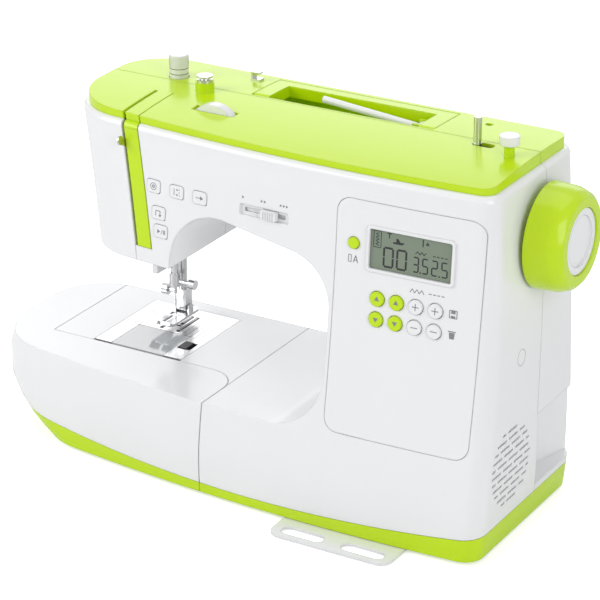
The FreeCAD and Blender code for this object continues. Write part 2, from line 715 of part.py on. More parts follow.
cover_block = cover_outline(COVER_LIP).extrude(V(0, 0, 30)).common(crown(0.0))
cover_hollow = cover_outline(COVER_LIP + COVER_WALL).extrude(V(0, 0, 30)).common(crown(COVER_WALL))
cover = cover_block.cut(cover_hollow)
top_slots = strip_slab(-half - SLOT_LEFT_WIDTH, -half, HOUSING_TOP - 5, 270)
top_slots = top_slots.fuse(strip_slab(half, half + SLOT_RIGHT_WIDTH, HOUSING_TOP - 5, 270).translated(V(0, 12, 0)))
top_slots = top_slots.cut(box(-260, 0, 16, 150, 200, 300))
front_cover = cover.common(box(-260, 260, -150, SPLIT_TOP_Y - SEAM, 200, 300)).cut(top_slots)
rear_cover = cover.common(box(-260, 260, SPLIT_TOP_Y, 150, 200, 300))

tension_slot = box(TENSION_X - 16.5, TENSION_X + 16.5, TENSION_Y - TENSION_WIDTH / 2 - 0.6,
                   TENSION_Y + TENSION_WIDTH / 2 + 0.6, 240, 270)
spindle_slot = prism_xy([(SPINDLE_X - 3.4, SPINDLE_Y - 3.4), (SPINDLE_X + SPINDLE_TRAVEL + 3.4, SPINDLE_Y - 3.4),
                         (SPINDLE_X + SPINDLE_TRAVEL + 3.4, SPINDLE_Y + 3.4), (SPINDLE_X - 3.4, SPINDLE_Y + 3.4)],
                        [3.3] * 4, 240, 270)
GUIDE_X = -71.0
GUIDE_Y = 31.5
CLIP_X = -52.0
CLIP_Y = 70.0
guide_post = post(6.6, GUIDE_X, GUIDE_Y, CROWN_MID_Z - 4, CROWN_MID_Z + 7, SMALL_SIDES)
stopper_post = post(3.6, STOPPER_X, STOPPER_Y, CROWN_MID_Z - 4, CROWN_MID_Z + 8, SMALL_SIDES)
fin = box(-92, -90.4, 15, 36, CROWN_MID_Z - 4, CROWN_MID_Z + 5)
tension_z = CROWN_MID_Z + TENSION_RISE - TENSION_RADIUS
ear_gap = TENSION_WIDTH / 2 + 2.0
hangers = []
for side_y in (TENSION_Y - ear_gap - 2.4, TENSION_Y + ear_gap):
    hangers.append(box(TENSION_X - 4, TENSION_X + 4, side_y, side_y + 2.4, tension_z - 4.5, CROWN_MID_Z - 1.5))
front_cover = front_cover.cut(tension_slot).cut(spindle_slot).multiFuse([guide_post, stopper_post] + hangers)
front_cover = front_cover.cut(along_y(2.5 + RUNNING, TENSION_X, tension_z, TENSION_Y - 12, TENSION_Y + 12))
nodes["front_top_cover"] = front_cover.removeSplitter()

well_outer = box(WELL_X0 - WELL_WALL, WELL_X1 + WELL_WALL, SPLIT_TOP_Y, WELL_Y1 + WELL_WALL, WELL_FLOOR_Z - WELL_WALL, 265)
well_inner = box(WELL_X0, WELL_X1, SPLIT_TOP_Y + WELL_WALL, WELL_Y1, WELL_FLOOR_Z, 275)
spool_ears = [box(SPOOL_PIVOT_X - 4, SPOOL_PIVOT_X + 4, SPOOL_Y + dy - 1.2, SPOOL_Y + dy + 1.2, WELL_FLOOR_Z - 1, SPOOL_PIVOT_Z + 4)
              for dy in (-5.0, 5.0)]
spool_bore = along_y(1.5 + RUNNING, SPOOL_PIVOT_X, SPOOL_PIVOT_Z, SPOOL_Y - 10, SPOOL_Y + 10)
spare_boss = post(SPARE_PIN_RADIUS + 2.4, SPARE_PIN_X, SPARE_PIN_Y, CROWN_MID_Z - SPARE_PIN_DEPTH - 2, CROWN_MID_Z)
spare_hole = post(SPARE_PIN_RADIUS, SPARE_PIN_X, SPARE_PIN_Y, CROWN_MID_Z - SPARE_PIN_DEPTH, CROWN_MID_Z + 5)
dial_hole = post(DIAL_RADIUS + SLIDING, DIAL_X, DIAL_Y, 240, 275)
handle_bore = along_x(HANDLE_PIN_RADIUS + RUNNING, HANDLE_PIVOT_Y, HANDLE_PIVOT_Z, WELL_X0 - 5, WELL_X1 + 5)
rear_cover = rear_cover.fuse(well_outer.common(crown(0.0))).cut(well_inner).multiFuse(spool_ears + [spare_boss.common(crown(0.0))])
rear_cover = rear_cover.cut(spool_bore).cut(spare_hole).cut(dial_hole).cut(handle_bore)
nodes["rear_top_cover"] = rear_cover.removeSplitter()

# Carry handle: two arms and a rear grip, folded into the well
handle_x0 = WELL_X0 + SLIDING
handle_x1 = WELL_X1 - SLIDING
handle_y1 = WELL_Y1 - 0.8
handle_low = HANDLE_PIVOT_Z - HANDLE_THICK / 2
arms = []
for x0 in (handle_x0, handle_x1 - HANDLE_ARM):
    arm = box(x0, x0 + HANDLE_ARM, HANDLE_PIVOT_Y, handle_y1, handle_low, 265)
    knuckle = along_x(HANDLE_THICK / 2, HANDLE_PIVOT_Y, HANDLE_PIVOT_Z, x0, x0 + HANDLE_ARM)
    arms += [arm, knuckle]
grip = box(handle_x0, handle_x1, handle_y1 - HANDLE_GRIP, handle_y1, handle_low, 265)
stubs = [along_x(HANDLE_PIN_RADIUS, HANDLE_PIVOT_Y, HANDLE_PIVOT_Z, handle_x0 - SLIDING - WELL_WALL, handle_x0 + 1),
         along_x(HANDLE_PIN_RADIUS, HANDLE_PIVOT_Y, HANDLE_PIVOT_Z, handle_x1 - 1, handle_x1 + SLIDING + WELL_WALL)]
handle = arms[0].multiFuse(arms[1:] + [grip]).common(crown(0.0)).multiFuse(stubs)
nodes["carry_handle"] = handle.removeSplitter()

# Fold-up spool pin on a cross pin between two ears
spool_root = V(SPOOL_PIVOT_X, SPOOL_Y, SPOOL_PIVOT_Z)
tilt = math.radians(SPOOL_TILT)
spool_dir = V(-math.cos(tilt), 0, math.sin(tilt))
rod = cyl(SPOOL_RADIUS, spool_root, spool_root + spool_dir * SPOOL_LENGTH)
eye = along_y(3.4, SPOOL_PIVOT_X, SPOOL_PIVOT_Z, SPOOL_Y - 3.4, SPOOL_Y + 3.4, SMALL_SIDES)
cross_pin = along_y(1.5, SPOOL_PIVOT_X, SPOOL_PIVOT_Z, SPOOL_Y - 6.2, SPOOL_Y + 6.2)
nodes["spool_pin"] = rod.multiFuse([eye, cross_pin]).removeSplitter()

# Winder tension disc and thread clip
disc = post(5.6, GUIDE_X, GUIDE_Y, CROWN_MID_Z + 7, CROWN_MID_Z + 8.6, SMALL_SIDES)
disc = disc.multiFuse([post(3.0, GUIDE_X, GUIDE_Y, CROWN_MID_Z + 8.6, CROWN_MID_Z + 10.2, SMALL_SIDES),
                       post(5.6, GUIDE_X, GUIDE_Y, CROWN_MID_Z + 10.2, CROWN_MID_Z + 11.4, SMALL_SIDES)])
clip = box(CLIP_X - 3.5, CLIP_X + 3.5, CLIP_Y - 3, CLIP_Y + 3, CROWN_MID_Z - 0.4, CROWN_MID_Z + 1.2)
clip = clip.fuse(box(CLIP_X - 3.5, CLIP_X - 2.3, CLIP_Y - 3, CLIP_Y + 3, CROWN_MID_Z, CROWN_MID_Z + 6))
clip = clip.fuse(box(CLIP_X - 3.5, CLIP_X + 3.0, CLIP_Y - 3, CLIP_Y + 3, CROWN_MID_Z + 4.8, CROWN_MID_Z + 6))
nodes["thread_guides"] = Part.makeCompound([disc.removeSplitter(), clip.cut(crown(0.0)).removeSplitter()])
nodes["winder_stopper"] = post(6.8, STOPPER_X, STOPPER_Y, CROWN_MID_Z + 8, CROWN_MID_Z + 14, DISC_SIDES)

# Tension wheel on its own cross pin, reaching up through the slot
wheel = along_y(TENSION_RADIUS, TENSION_X, tension_z, TENSION_Y - TENSION_WIDTH / 2,
                TENSION_Y + TENSION_WIDTH / 2, WHEEL_SIDES)
tension_pin = along_y(2.5, TENSION_X, tension_z, TENSION_Y - ear_gap - 2.4, TENSION_Y + ear_gap + 2.4)
nodes["tension_dial"] = wheel.fuse(tension_pin).removeSplitter()

# Pressure dial over the presser bar
dial_top = CROWN_MID_Z + DIAL_HEIGHT
nodes["pressure_dial"] = post(DIAL_RADIUS, DIAL_X, DIAL_Y, CROWN_MID_Z - 3, dial_top, DISC_SIDES)

# Bobbin winder spindle on a sliding foot under the cover
spindle_foot = box(SPINDLE_X - 7, SPINDLE_X + 7, SPINDLE_Y - 5, SPINDLE_Y + 5, 246, CROWN_MID_Z - COVER_WALL - 1.6)
spindle = spindle_foot.multiFuse([post(SPINDLE_RADIUS, SPINDLE_X, SPINDLE_Y, 246, CROWN_MID_Z + SPINDLE_HEIGHT, SMALL_SIDES),
                                  post(3.1, SPINDLE_X, SPINDLE_Y, 246, CROWN_MID_Z + 1.0, SMALL_SIDES)])
nodes["winder_spindle"] = spindle.removeSplitter()

# Speed slider: a ribbed knob, a stem through the slit and a shoe behind the skin
knob = rounded_rect(SPEED_KNOB_WIDTH, SPEED_KNOB_HEIGHT, 1.0, -1.4, 2.6)
stem = rounded_rect(6.0, 2.2, 0.4, -WALL - 0.9, -1.0)
shoe = rounded_rect(12.0, 9.0, 1.0, -WALL - 1.9, -WALL - 0.4)
nodes["speed_slider"] = on_skin(knob.multiFuse([stem, shoe]).removeSplitter(), SPEED_KNOB_X, SPEED_SLOT_Z)


# Handwheel, its cap and the upper shaft
def turned(points, y, z, sides):
    """Stack of many-sided rings along X through y and z, from points of x and radius."""
    wires = [facet_wire(r, sides, lambda a, b, x=x: V(x, y + a, z + b)) for x, r in points]
    return Part.makeLoft(wires, True, True)


face_x = WHEEL_FACE_X - 1.2
wheel_points = [(WHEEL_BACK_X, WHEEL_RADIUS), (WHEEL_BACK_X + 16, WHEEL_RADIUS - 0.8),
                (WHEEL_FACE_X - 2.5, WHEEL_FRONT_RADIUS), (WHEEL_FACE_X, WHEEL_FRONT_RADIUS - 3)]
wheel_round = turned(wheel_points, SHAFT_Y, SHAFT_Z, WHEEL_SIDES)
cap_seat = along_x(CAP_RADIUS + SEAM, SHAFT_Y, SHAFT_Z, face_x - 5, 260, WHEEL_SIDES)
shaft_seat = along_x(SHAFT_RADIUS, SHAFT_Y, SHAFT_Z, 100, 260)
nodes["handwheel"] = wheel_round.cut(cap_seat).cut(shaft_seat)
cap_disc = along_x(CAP_RADIUS, SHAFT_Y, SHAFT_Z, face_x - 5, face_x, WHEEL_SIDES)
dish = along_x(CAP_RADIUS - 5, SHAFT_Y, SHAFT_Z, face_x - 1.6, face_x + 1, WHEEL_SIDES)
nodes["handwheel_cap"] = cap_disc.cut(dish)
PULLEY_X = 165.0
LOWER_PULLEY_X = 78.0
BIG_PULLEY = 22.0
SMALL_PULLEY = 12.0
MOTOR_PULLEY = 7.0
CRANK_X = -92.0
CRANK_WIDTH = 6.0
CRANK_RADIUS = 15.0
shaft_parts = [along_x(BIG_PULLEY, SHAFT_Y, SHAFT_Z, PULLEY_X, PULLEY_X + PULLEY_WIDTH, DISC_SIDES),
               along_x(SMALL_PULLEY, SHAFT_Y, SHAFT_Z, LOWER_PULLEY_X, LOWER_PULLEY_X + PULLEY_WIDTH, DISC_SIDES),
               along_x(CRANK_RADIUS, SHAFT_Y, SHAFT_Z, CRANK_X, CRANK_X + CRANK_WIDTH, DISC_SIDES)]
upper = along_x(SHAFT_RADIUS, SHAFT_Y, SHAFT_Z, CRANK_X, face_x - 5)
nodes["upper_shaft"] = upper.multiFuse(shaft_parts).removeSplitter()

# Lower shaft, hook drive and motor
GEAR_RADIUS = 6.4
HOOK_GEAR = LOWER_Y - HOOK_Y - GEAR_RADIUS - 0.6
lower = along_x(SHAFT_RADIUS, LOWER_Y, LOWER_Z, NEEDLE_X - 14, LOWER_PULLEY_X + PULLEY_WIDTH)
lower_end = LOWER_PULLEY_X + PULLEY_WIDTH
lower = lower.multiFuse([along_x(GEAR_RADIUS, LOWER_Y, LOWER_Z, NEEDLE_X - 6, NEEDLE_X + 6, SMALL_SIDES),
                         along_x(SMALL_PULLEY, LOWER_Y, LOWER_Z, LOWER_PULLEY_X, lower_end, DISC_SIDES)])
nodes["lower_shaft"] = lower.removeSplitter()
hook_cup = post(HOOK_RADIUS, NEEDLE_X, HOOK_Y, HOOK_BOTTOM, HOOK_TOP, DISC_SIDES)
hook_cup = hook_cup.cut(post(CASE_RADIUS + SLIDING, NEEDLE_X, HOOK_Y, HOOK_BOTTOM + 2.5, HOOK_TOP + 1, DISC_SIDES))
hook = hook_cup.multiFuse([post(HOOK_GEAR, NEEDLE_X, HOOK_Y, LOWER_Z - 4, LOWER_Z + 4, SMALL_SIDES),
                           post(4.0, NEEDLE_X, HOOK_Y, 27.0, HOOK_BOTTOM + 1)])
nodes["rotary_hook"] = hook.removeSplitter()
case_floor = HOOK_BOTTOM + 2.5 + SLIDING
case = post(CASE_RADIUS, NEEDLE_X, HOOK_Y, case_floor, HOOK_TOP + 0.6, DISC_SIDES)
case = case.cut(post(BOBBIN_RADIUS + SLIDING, NEEDLE_X, HOOK_Y, case_floor + 1.6, HOOK_TOP + 2, DISC_SIDES))
nodes["bobbin_case"] = case
bobbin_z = case_floor + 1.6 + SEAM
bobbin_top = bobbin_z + BOBBIN_HEIGHT
flange = [post(BOBBIN_RADIUS, NEEDLE_X, HOOK_Y, z, z + 1.2, DISC_SIDES) for z in (bobbin_z, bobbin_top - 1.2)]
bobbin = post(5.0, NEEDLE_X, HOOK_Y, bobbin_z, bobbin_top, SMALL_SIDES).multiFuse(flange)
bobbin = bobbin.cut(post(3.0, NEEDLE_X, HOOK_Y, bobbin_z - 1, bobbin_top + 1, SMALL_SIDES))
nodes["bobbin"] = bobbin.removeSplitter()
MOTOR_X0 = 102.0
MOTOR_X1 = 154.0
nodes["drive_motor"] = along_x(MOTOR_RADIUS, MOTOR_Y, MOTOR_Z, MOTOR_X0, MOTOR_X1, DISC_SIDES)
pulley = along_x(MOTOR_PULLEY, MOTOR_Y, MOTOR_Z, PULLEY_X, PULLEY_X + PULLEY_WIDTH, SMALL_SIDES)
motor_shaft = along_x(2.5, MOTOR_Y, MOTOR_Z, MOTOR_X1 + SEAM, PULLEY_X + 1, SMALL_SIDES)
nodes["motor_pulley"] = pulley.fuse(motor_shaft).removeSplitter()


def belt(y0, z0, r0, y1, z1, r1, x0):
    """Closed belt round two pulleys whose axes lie along X."""
    reach = math.hypot(y1 - y0, z1 - z0)
    heading = math.atan2(z1 - z0, y1 - y0)

    def hull(grow):
        spread = math.acos((r0 - r1) / reach)
        a, b = r0 + grow, r1 + grow

        def point(y, z, r, angle):
            return V(x0, y + r * math.cos(angle), z + r * math.sin(angle))

        high, low = heading + spread, heading - spread
        edges = [Part.makeLine(point(y0, z0, a, low), point(y1, z1, b, low)),
                 Part.Arc(point(y1, z1, b, low), point(y1, z1, b, heading), point(y1, z1, b, high)).toShape(),
                 Part.makeLine(point(y1, z1, b, high), point(y0, z0, a, high)),
                 Part.Arc(point(y0, z0, a, high), point(y0, z0, a, heading + math.pi), point(y0, z0, a, low)).toShape()]
        return Part.Face(Part.Wire(edges)).extrude(V(BELT_WIDTH, 0, 0))

    return hull(SEAM + BELT_THICKNESS).cut(hull(SEAM))


nodes["drive_belts"] = Part.makeCompound([
    belt(MOTOR_Y, MOTOR_Z, MOTOR_PULLEY, SHAFT_Y, SHAFT_Z, BIG_PULLEY, PULLEY_X + 1),
    belt(LOWER_Y, LOWER_Z, SMALL_PULLEY, SHAFT_Y, SHAFT_Z, SMALL_PULLEY, LOWER_PULLEY_X + 1)])

LIFTER_Y = BACK - 12.0
LIFTER_Z = 176.0

# Cast frame: base plate, tower walls, arm beam, head wall with bar guides, lower arm
FRAME_FLOOR = 9.0
frame = [box(-5, 172, -32, 72, FRAME_FLOOR, FRAME_FLOOR + 4),
         box(90, 96, -18, 66, FRAME_FLOOR, 226), box(157, 163, -18, 66, FRAME_FLOOR, 226),
         box(-80, 163, 18, 37, 226, 240), box(-80, -72, -8, 66, 162, 240),
         box(NEEDLE_X - 6.5, -72, NEEDLE_Y - 8, PRESSER_Y + 8, 228, 240),
         box(NEEDLE_X - 6.5, -72, NEEDLE_Y - 8, PRESSER_Y + 8, 162, 172),
         box(NEEDLE_X + 2, -72, PRESSER_Y + 7, LIFTER_Y - 6 - SEAM, 168, 184),
         box(-150, 70, 12, 72, FREE_ARM_BOTTOM + WALL, FREE_ARM_BOTTOM + WALL + 3),
         box(40, 70, 14, 70, FRAME_FLOOR, FREE_ARM_BOTTOM + WALL + 1),
         box(-60, -52, 34, 57, FREE_ARM_BOTTOM + WALL, 50), box(20, 28, 34, 57, FREE_ARM_BOTTOM + WALL, 50),
         box(NEEDLE_X - 8, NEEDLE_X + 8, HOOK_Y - 8, HOOK_Y + 8, FREE_ARM_BOTTOM + WALL, 33.0)]
frame_cuts = [along_x(SHAFT_RADIUS + RUNNING, SHAFT_Y, SHAFT_Z, -90, 180),
              along_x(SHAFT_RADIUS + RUNNING, LOWER_Y, LOWER_Z, -70, 100),
              box(155, 165, MOTOR_Y - 8, MOTOR_Y + 8, MOTOR_Z - 8, MOTOR_Z + 8),
              post(BAR_RADIUS + RUNNING, NEEDLE_X, NEEDLE_Y, 100, 260), post(BAR_RADIUS + RUNNING, NEEDLE_X, PRESSER_Y, 100, 260),
              post(4.0 + RUNNING, NEEDLE_X, HOOK_Y, 26.7, 60)]
frame_solid = frame[0].multiFuse(frame[1:]).removeSplitter()
for cutter in frame_cuts:
    frame_solid = frame_solid.cut(cutter)
nodes["machine_frame"] = frame_solid

# Needle plate, bobbin cover, its release and the feed dogs
plate = box(PLATE_X0, PLATE_X1, PLATE_Y0, PLATE_Y1, BED_TOP - PLATE_THICK, BED_TOP)
plate = plate.cut(box(COVER_X0 - SLIDING, COVER_X1 + SLIDING, PLATE_Y0 - 1, COVER_Y1 + SLIDING, 60, 80))
plate = plate.cut(box(RELEASE_X0 - SEAM, RELEASE_X1 + RELEASE_TRAVEL + SEAM, RELEASE_Y0 - SEAM, RELEASE_Y1 + SEAM, 60, 80))
FEED_ROWS = [(-7.0, 36.0, 61.0), (-2.0, 48.0, 61.0), (2.5, 48.0, 61.0), (7.0, 36.0, 61.0)]
FEED_WIDTH = 2.0
FEED_TRAVEL = 1.5
feed = []
for offset, y0, y1 in FEED_ROWS:
    x0 = NEEDLE_X + offset - FEED_WIDTH / 2
    plate = plate.cut(box(x0 - SLIDING, x0 + FEED_WIDTH + SLIDING, y0 - FEED_TRAVEL - SLIDING, y1 + FEED_TRAVEL + SLIDING, 60, 80))
    feed.append(box(x0, x0 + FEED_WIDTH, y0, y1, 62.0, BED_TOP + 0.5))
plate = plate.cut(box(NEEDLE_X - 4.2, NEEDLE_X + 4.2, NEEDLE_Y - 1.0, NEEDLE_Y + 1.0, 60, 80))
nodes["needle_plate"] = plate
feed.append(box(NEEDLE_X - 9, NEEDLE_X + 9, 50, 60, 62.0, 65.4))
nodes["feed_dogs"] = feed[0].multiFuse(feed[1:]).removeSplitter()
cover_low = BED_TOP - 2.4
nodes["bobbin_cover"] = box(COVER_X0, COVER_X1, PLATE_Y0, COVER_Y1, cover_low, BED_TOP)
nodes["cover_release"] = box(RELEASE_X0, RELEASE_X1, RELEASE_Y0, RELEASE_Y1, BED_TOP - PLATE_THICK, BED_TOP + 0.6)

# Needle bar, clamp and needle
clamp_low = NEEDLE_TIP_Z + NEEDLE_LENGTH
bar = post(BAR_RADIUS, NEEDLE_X, NEEDLE_Y, clamp_low + CLAMP_HEIGHT - 3, 243)
bracket = box(NEEDLE_X + 2, NEEDLE_X + 9, NEEDLE_Y - 6, NEEDLE_Y + 4, 199, 209)
nodes["needle_bar"] = bar.fuse(bracket).removeSplitter()
clamp = post(CLAMP_RADIUS, NEEDLE_X, NEEDLE_Y, clamp_low, clamp_low + CLAMP_HEIGHT, SMALL_SIDES).cut(bar.cut(box(-200, 0, 0, 90, 200, 300)))
screw_z = clamp_low + CLAMP_HEIGHT / 2 - 1.5
clamp = clamp.multiFuse([along_x(1.8, NEEDLE_Y, screw_z, NEEDLE_X + 3, NEEDLE_X + 12, SMALL_SIDES),
                         along_x(3.6, NEEDLE_Y, screw_z, NEEDLE_X + 12, NEEDLE_X + 17, SMALL_SIDES)])
shank = post(1.0, NEEDLE_X, NEEDLE_Y, clamp_low - 6, clamp_low + 6, SMALL_SIDES // 2)
nodes["needle_clamp"] = clamp.cut(shank).removeSplitter()
needle_rings = [(NEEDLE_TIP_Z, 0.08), (NEEDLE_TIP_Z + 3, NEEDLE_RADIUS), (clamp_low - 6, NEEDLE_RADIUS)]
needle_wires = []
for ring_z, ring_r in needle_rings:
    needle_wires.append(facet_wire(ring_r, SMALL_SIDES // 2, lambda a, b: V(NEEDLE_X + a, NEEDLE_Y + b, ring_z)))
nodes["needle"] = Part.makeLoft(needle_wires, True, True).fuse(shank)

# Take-up lever in the plane of the leaning left slot
TAKE_UP_Y = 4.0
TAKE_UP_Z = 214.0
take_x = strip_x(TAKE_UP_Z) - half - SLOT_LEFT_WIDTH / 2
EYE_Y = skin_y(strip_x(238), 238) - 4.0
EYE_Z = 238.0
lean_angle = math.degrees(math.atan((STRIP_BOTTOM_X - STRIP_TOP_X) / (HOUSING_TOP - STRIP_BOTTOM_Z)))
lever = along_x(6.0, 0, 0, -0.6, 0.6, SMALL_SIDES)
reach = V(0, EYE_Y - TAKE_UP_Y, (EYE_Z - TAKE_UP_Z) / math.cos(math.radians(lean_angle)))
blade = box(-0.6, 0.6, -reach.Length, 0, -2.6, 2.6)
blade = blade.fuse(along_x(3.2, -reach.Length, 0, -0.6, 0.6, SMALL_SIDES))
blade.rotate(V(0, 0, 0), V(1, 0, 0), -math.degrees(math.atan2(reach.z, -reach.y)))
pivot = along_x(2.5, 0, 0, -1.0, 11.9)
lever = lever.multiFuse([blade, pivot]).removeSplitter()
lever.rotate(V(0, 0, 0), V(0, 1, 0), -lean_angle)
nodes["take_up_lever"] = lever.translated(V(take_x, TAKE_UP_Y, TAKE_UP_Z))

# Presser bar, foot holder, snap-on foot and its lifter
HOLDER_LOW = FOOT_SOLE_Z + 3.2
HOLDER_HIGH = HOLDER_LOW + 16.0
nodes["presser_bar"] = post(BAR_RADIUS, NEEDLE_X, PRESSER_Y, HOLDER_HIGH - 8, 244).fuse(
    box(NEEDLE_X + 2, NEEDLE_X + 12, PRESSER_Y - 3, PRESSER_Y + 6, 186, 190)).removeSplitter()
holder = box(NEEDLE_X - 4.5, NEEDLE_X + 4.5, PRESSER_Y - 4.6, PRESSER_Y + 4.6, HOLDER_LOW, HOLDER_HIGH)
holder = holder.cut(post(BAR_RADIUS, NEEDLE_X, PRESSER_Y, HOLDER_HIGH - 8, HOLDER_HIGH + 1))
holder = holder.fuse(along_x(2.0, PRESSER_Y, HOLDER_HIGH - 4, NEEDLE_X - 12, NEEDLE_X - 4, SMALL_SIDES))
holder = holder.fuse(along_x(4.2, PRESSER_Y, HOLDER_HIGH - 4, NEEDLE_X - 17, NEEDLE_X - 12, SMALL_SIDES))
FOOT_PIN_Z = FOOT_SOLE_Z + 4.6
FOOT_PIN_R = 1.4
pin_seat = FOOT_PIN_R + SEAM
holder = holder.cut(box(NEEDLE_X - 6, NEEDLE_X + 6, PRESSER_Y - pin_seat, PRESSER_Y + pin_seat, HOLDER_LOW - 1,
                        FOOT_PIN_Z + pin_seat))
nodes["foot_holder"] = holder.removeSplitter()
sole = [(-9, 25), (9, 25), (9, 62), (-9, 62)]
foot = prism_xy([(NEEDLE_X + x, y) for x, y in sole], [4, 4, 3, 3], FOOT_SOLE_Z, FOOT_SOLE_Z + 1.8)
foot = foot.cut(box(NEEDLE_X - 4.5, NEEDLE_X + 4.5, NEEDLE_Y - 2.2, NEEDLE_Y + 2.2, 70, 90))
foot = foot.cut(box(NEEDLE_X - 1.6, NEEDLE_X + 1.6, 20, NEEDLE_Y, 70, 90))
toe = box(NEEDLE_X - 9, NEEDLE_X + 9, 20, 26, FOOT_SOLE_Z, FOOT_SOLE_Z + 1.8).cut(box(NEEDLE_X - 1.6, NEEDLE_X + 1.6, 15, 30, 70, 90))
toe.rotate(V(0, 26, FOOT_SOLE_Z), V(1, 0, 0), -32)
ears = [box(NEEDLE_X + x, NEEDLE_X + x + 1.6, PRESSER_Y - 3, PRESSER_Y + 3, FOOT_SOLE_Z + 1, FOOT_PIN_Z + 1.9) for x in (-6.5, 4.9)]
foot_pin = along_x(FOOT_PIN_R, PRESSER_Y, FOOT_PIN_Z, NEEDLE_X - 5.5, NEEDLE_X + 5.5)
nodes["presser_foot"] = foot.multiFuse([toe] + ears + [foot_pin]).removeSplitter()
lifter = along_y(6.0, NEEDLE_X + 8, LIFTER_Z, LIFTER_Y - 6, LIFTER_Y)
lifter = lifter.fuse(box(NEEDLE_X + 8, NEEDLE_X + 34, LIFTER_Y - 5, LIFTER_Y - 1, LIFTER_Z - 4, LIFTER_Z + 4))
lifter = lifter.fuse(box(NEEDLE_X + 26, NEEDLE_X + 34, LIFTER_Y - 5, LIFTER_Y - 1, LIFTER_Z - 30, LIFTER_Z))
nodes["presser_lifter"] = lifter.removeSplitter()

# Needle threader: a plunger beside the needle bar with a thumb lever
THREADER_X = NEEDLE_X - 9.5
threader = box(THREADER_X - 2.2, THREADER_X + 2.2, NEEDLE_Y - 3, NEEDLE_Y + 3, 112, 200)
threader = threader.fuse(box(THREADER_X - 2.2, THREADER_X + 2.2, NEEDLE_Y - 12, NEEDLE_Y + 3, 112, 118))
nodes["needle_threader"] = threader.removeSplitter()

# Stitch chart on its rails, with two finger loops at the front
tab_y0 = CHART_TIP
card = box(CHART_X0, CHART_X1, -52, CHART_BACK, CHART_Z, CHART_Z + CHART_THICK)
tab = prism_xy([(CHART_X0, tab_y0), (CHART_X1, tab_y0), (CHART_X1, -50), (CHART_X0, -50)], [9, 9, 0, 0], CHART_Z, CHART_Z + CHART_THICK)
middle_x = (CHART_X0 + CHART_X1) / 2
loops = []
for loop_x in (middle_x - 23, middle_x + 23):
    loops.append(prism_xy([(loop_x - 16, tab_y0 + 5), (loop_x + 16, tab_y0 + 5), (loop_x + 16, tab_y0 + 15), (loop_x - 16, tab_y0 + 15)],
                          [4.9] * 4, -1, 6))
chart = card.fuse(tab)
for loop in loops:
    chart = chart.cut(loop)
nodes["stitch_chart"] = chart.removeSplitter()

os.makedirs("parts", exist_ok=True)
for name, shape in nodes.items():
    shape.exportStep("parts/" + name + ".step")
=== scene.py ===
import json
import math
import bmesh
import bpy
from mathutils import Matrix, Vector
from mathutils.bvhtree import BVHTree


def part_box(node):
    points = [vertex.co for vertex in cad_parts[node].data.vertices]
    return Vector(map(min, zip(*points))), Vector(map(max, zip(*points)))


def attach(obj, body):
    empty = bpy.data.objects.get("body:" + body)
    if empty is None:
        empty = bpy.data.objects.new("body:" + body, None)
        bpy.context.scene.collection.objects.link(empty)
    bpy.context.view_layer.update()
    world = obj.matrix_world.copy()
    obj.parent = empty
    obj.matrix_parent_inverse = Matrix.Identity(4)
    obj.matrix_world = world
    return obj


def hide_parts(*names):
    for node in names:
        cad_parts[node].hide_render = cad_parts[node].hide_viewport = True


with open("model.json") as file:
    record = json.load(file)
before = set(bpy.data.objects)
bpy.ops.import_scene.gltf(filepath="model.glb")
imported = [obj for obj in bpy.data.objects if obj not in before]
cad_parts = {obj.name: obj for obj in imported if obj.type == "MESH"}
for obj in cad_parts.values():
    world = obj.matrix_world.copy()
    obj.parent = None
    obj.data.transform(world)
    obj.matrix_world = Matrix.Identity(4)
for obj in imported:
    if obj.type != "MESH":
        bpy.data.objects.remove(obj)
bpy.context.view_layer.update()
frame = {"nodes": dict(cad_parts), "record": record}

# Studio: a plain pale sweep of floor under soft panel lamps, as in a catalogue picture.
# The camera stands right of the machine and above it, with a long lens.
# The floor and the background read as white only to the camera and in reflections.
scene = bpy.context.scene
scene.view_settings.view_transform = "Standard"
camera_data = bpy.data.cameras.new("camera")
camera_data.lens = 163.2
camera_data.sensor_width = 36.0
camera = bpy.data.objects.new("camera", camera_data)
camera.location = (0.882, -1.464, 0.872)
camera_aim = Vector((0.00945, 0.0234, 0.1219)) - camera.location
camera.rotation_euler = camera_aim.to_track_quat("-Z", "Y").to_euler()
scene.collection.objects.link(camera)
scene.camera = camera


def panel_lamp(name, at, size, power):
    data = bpy.data.lights.new(name, "AREA")
    data.shape = "RECTANGLE"
    data.size, data.size_y = size
    data.energy = power
    lamp = bpy.data.objects.new(name, data)
    lamp.location = at
    lamp.rotation_euler = (Vector((0, 0, 0.12)) - Vector(at)).to_track_quat("-Z", "Y").to_euler()
    scene.collection.objects.link(lamp)


panel_lamp("key_left", (-1.3, -1.2, 1.2), (1.2, 1.2), 20.0)
panel_lamp("fill_right", (1.6, -0.8, 0.9), (1.0, 1.4), 13.0)
panel_lamp("top", (0.0, 0.4, 1.7), (1.6, 1.2), 6.5)
panel_lamp("behind", (-0.7, 1.7, 0.95), (1.8, 0.8), 5.0)

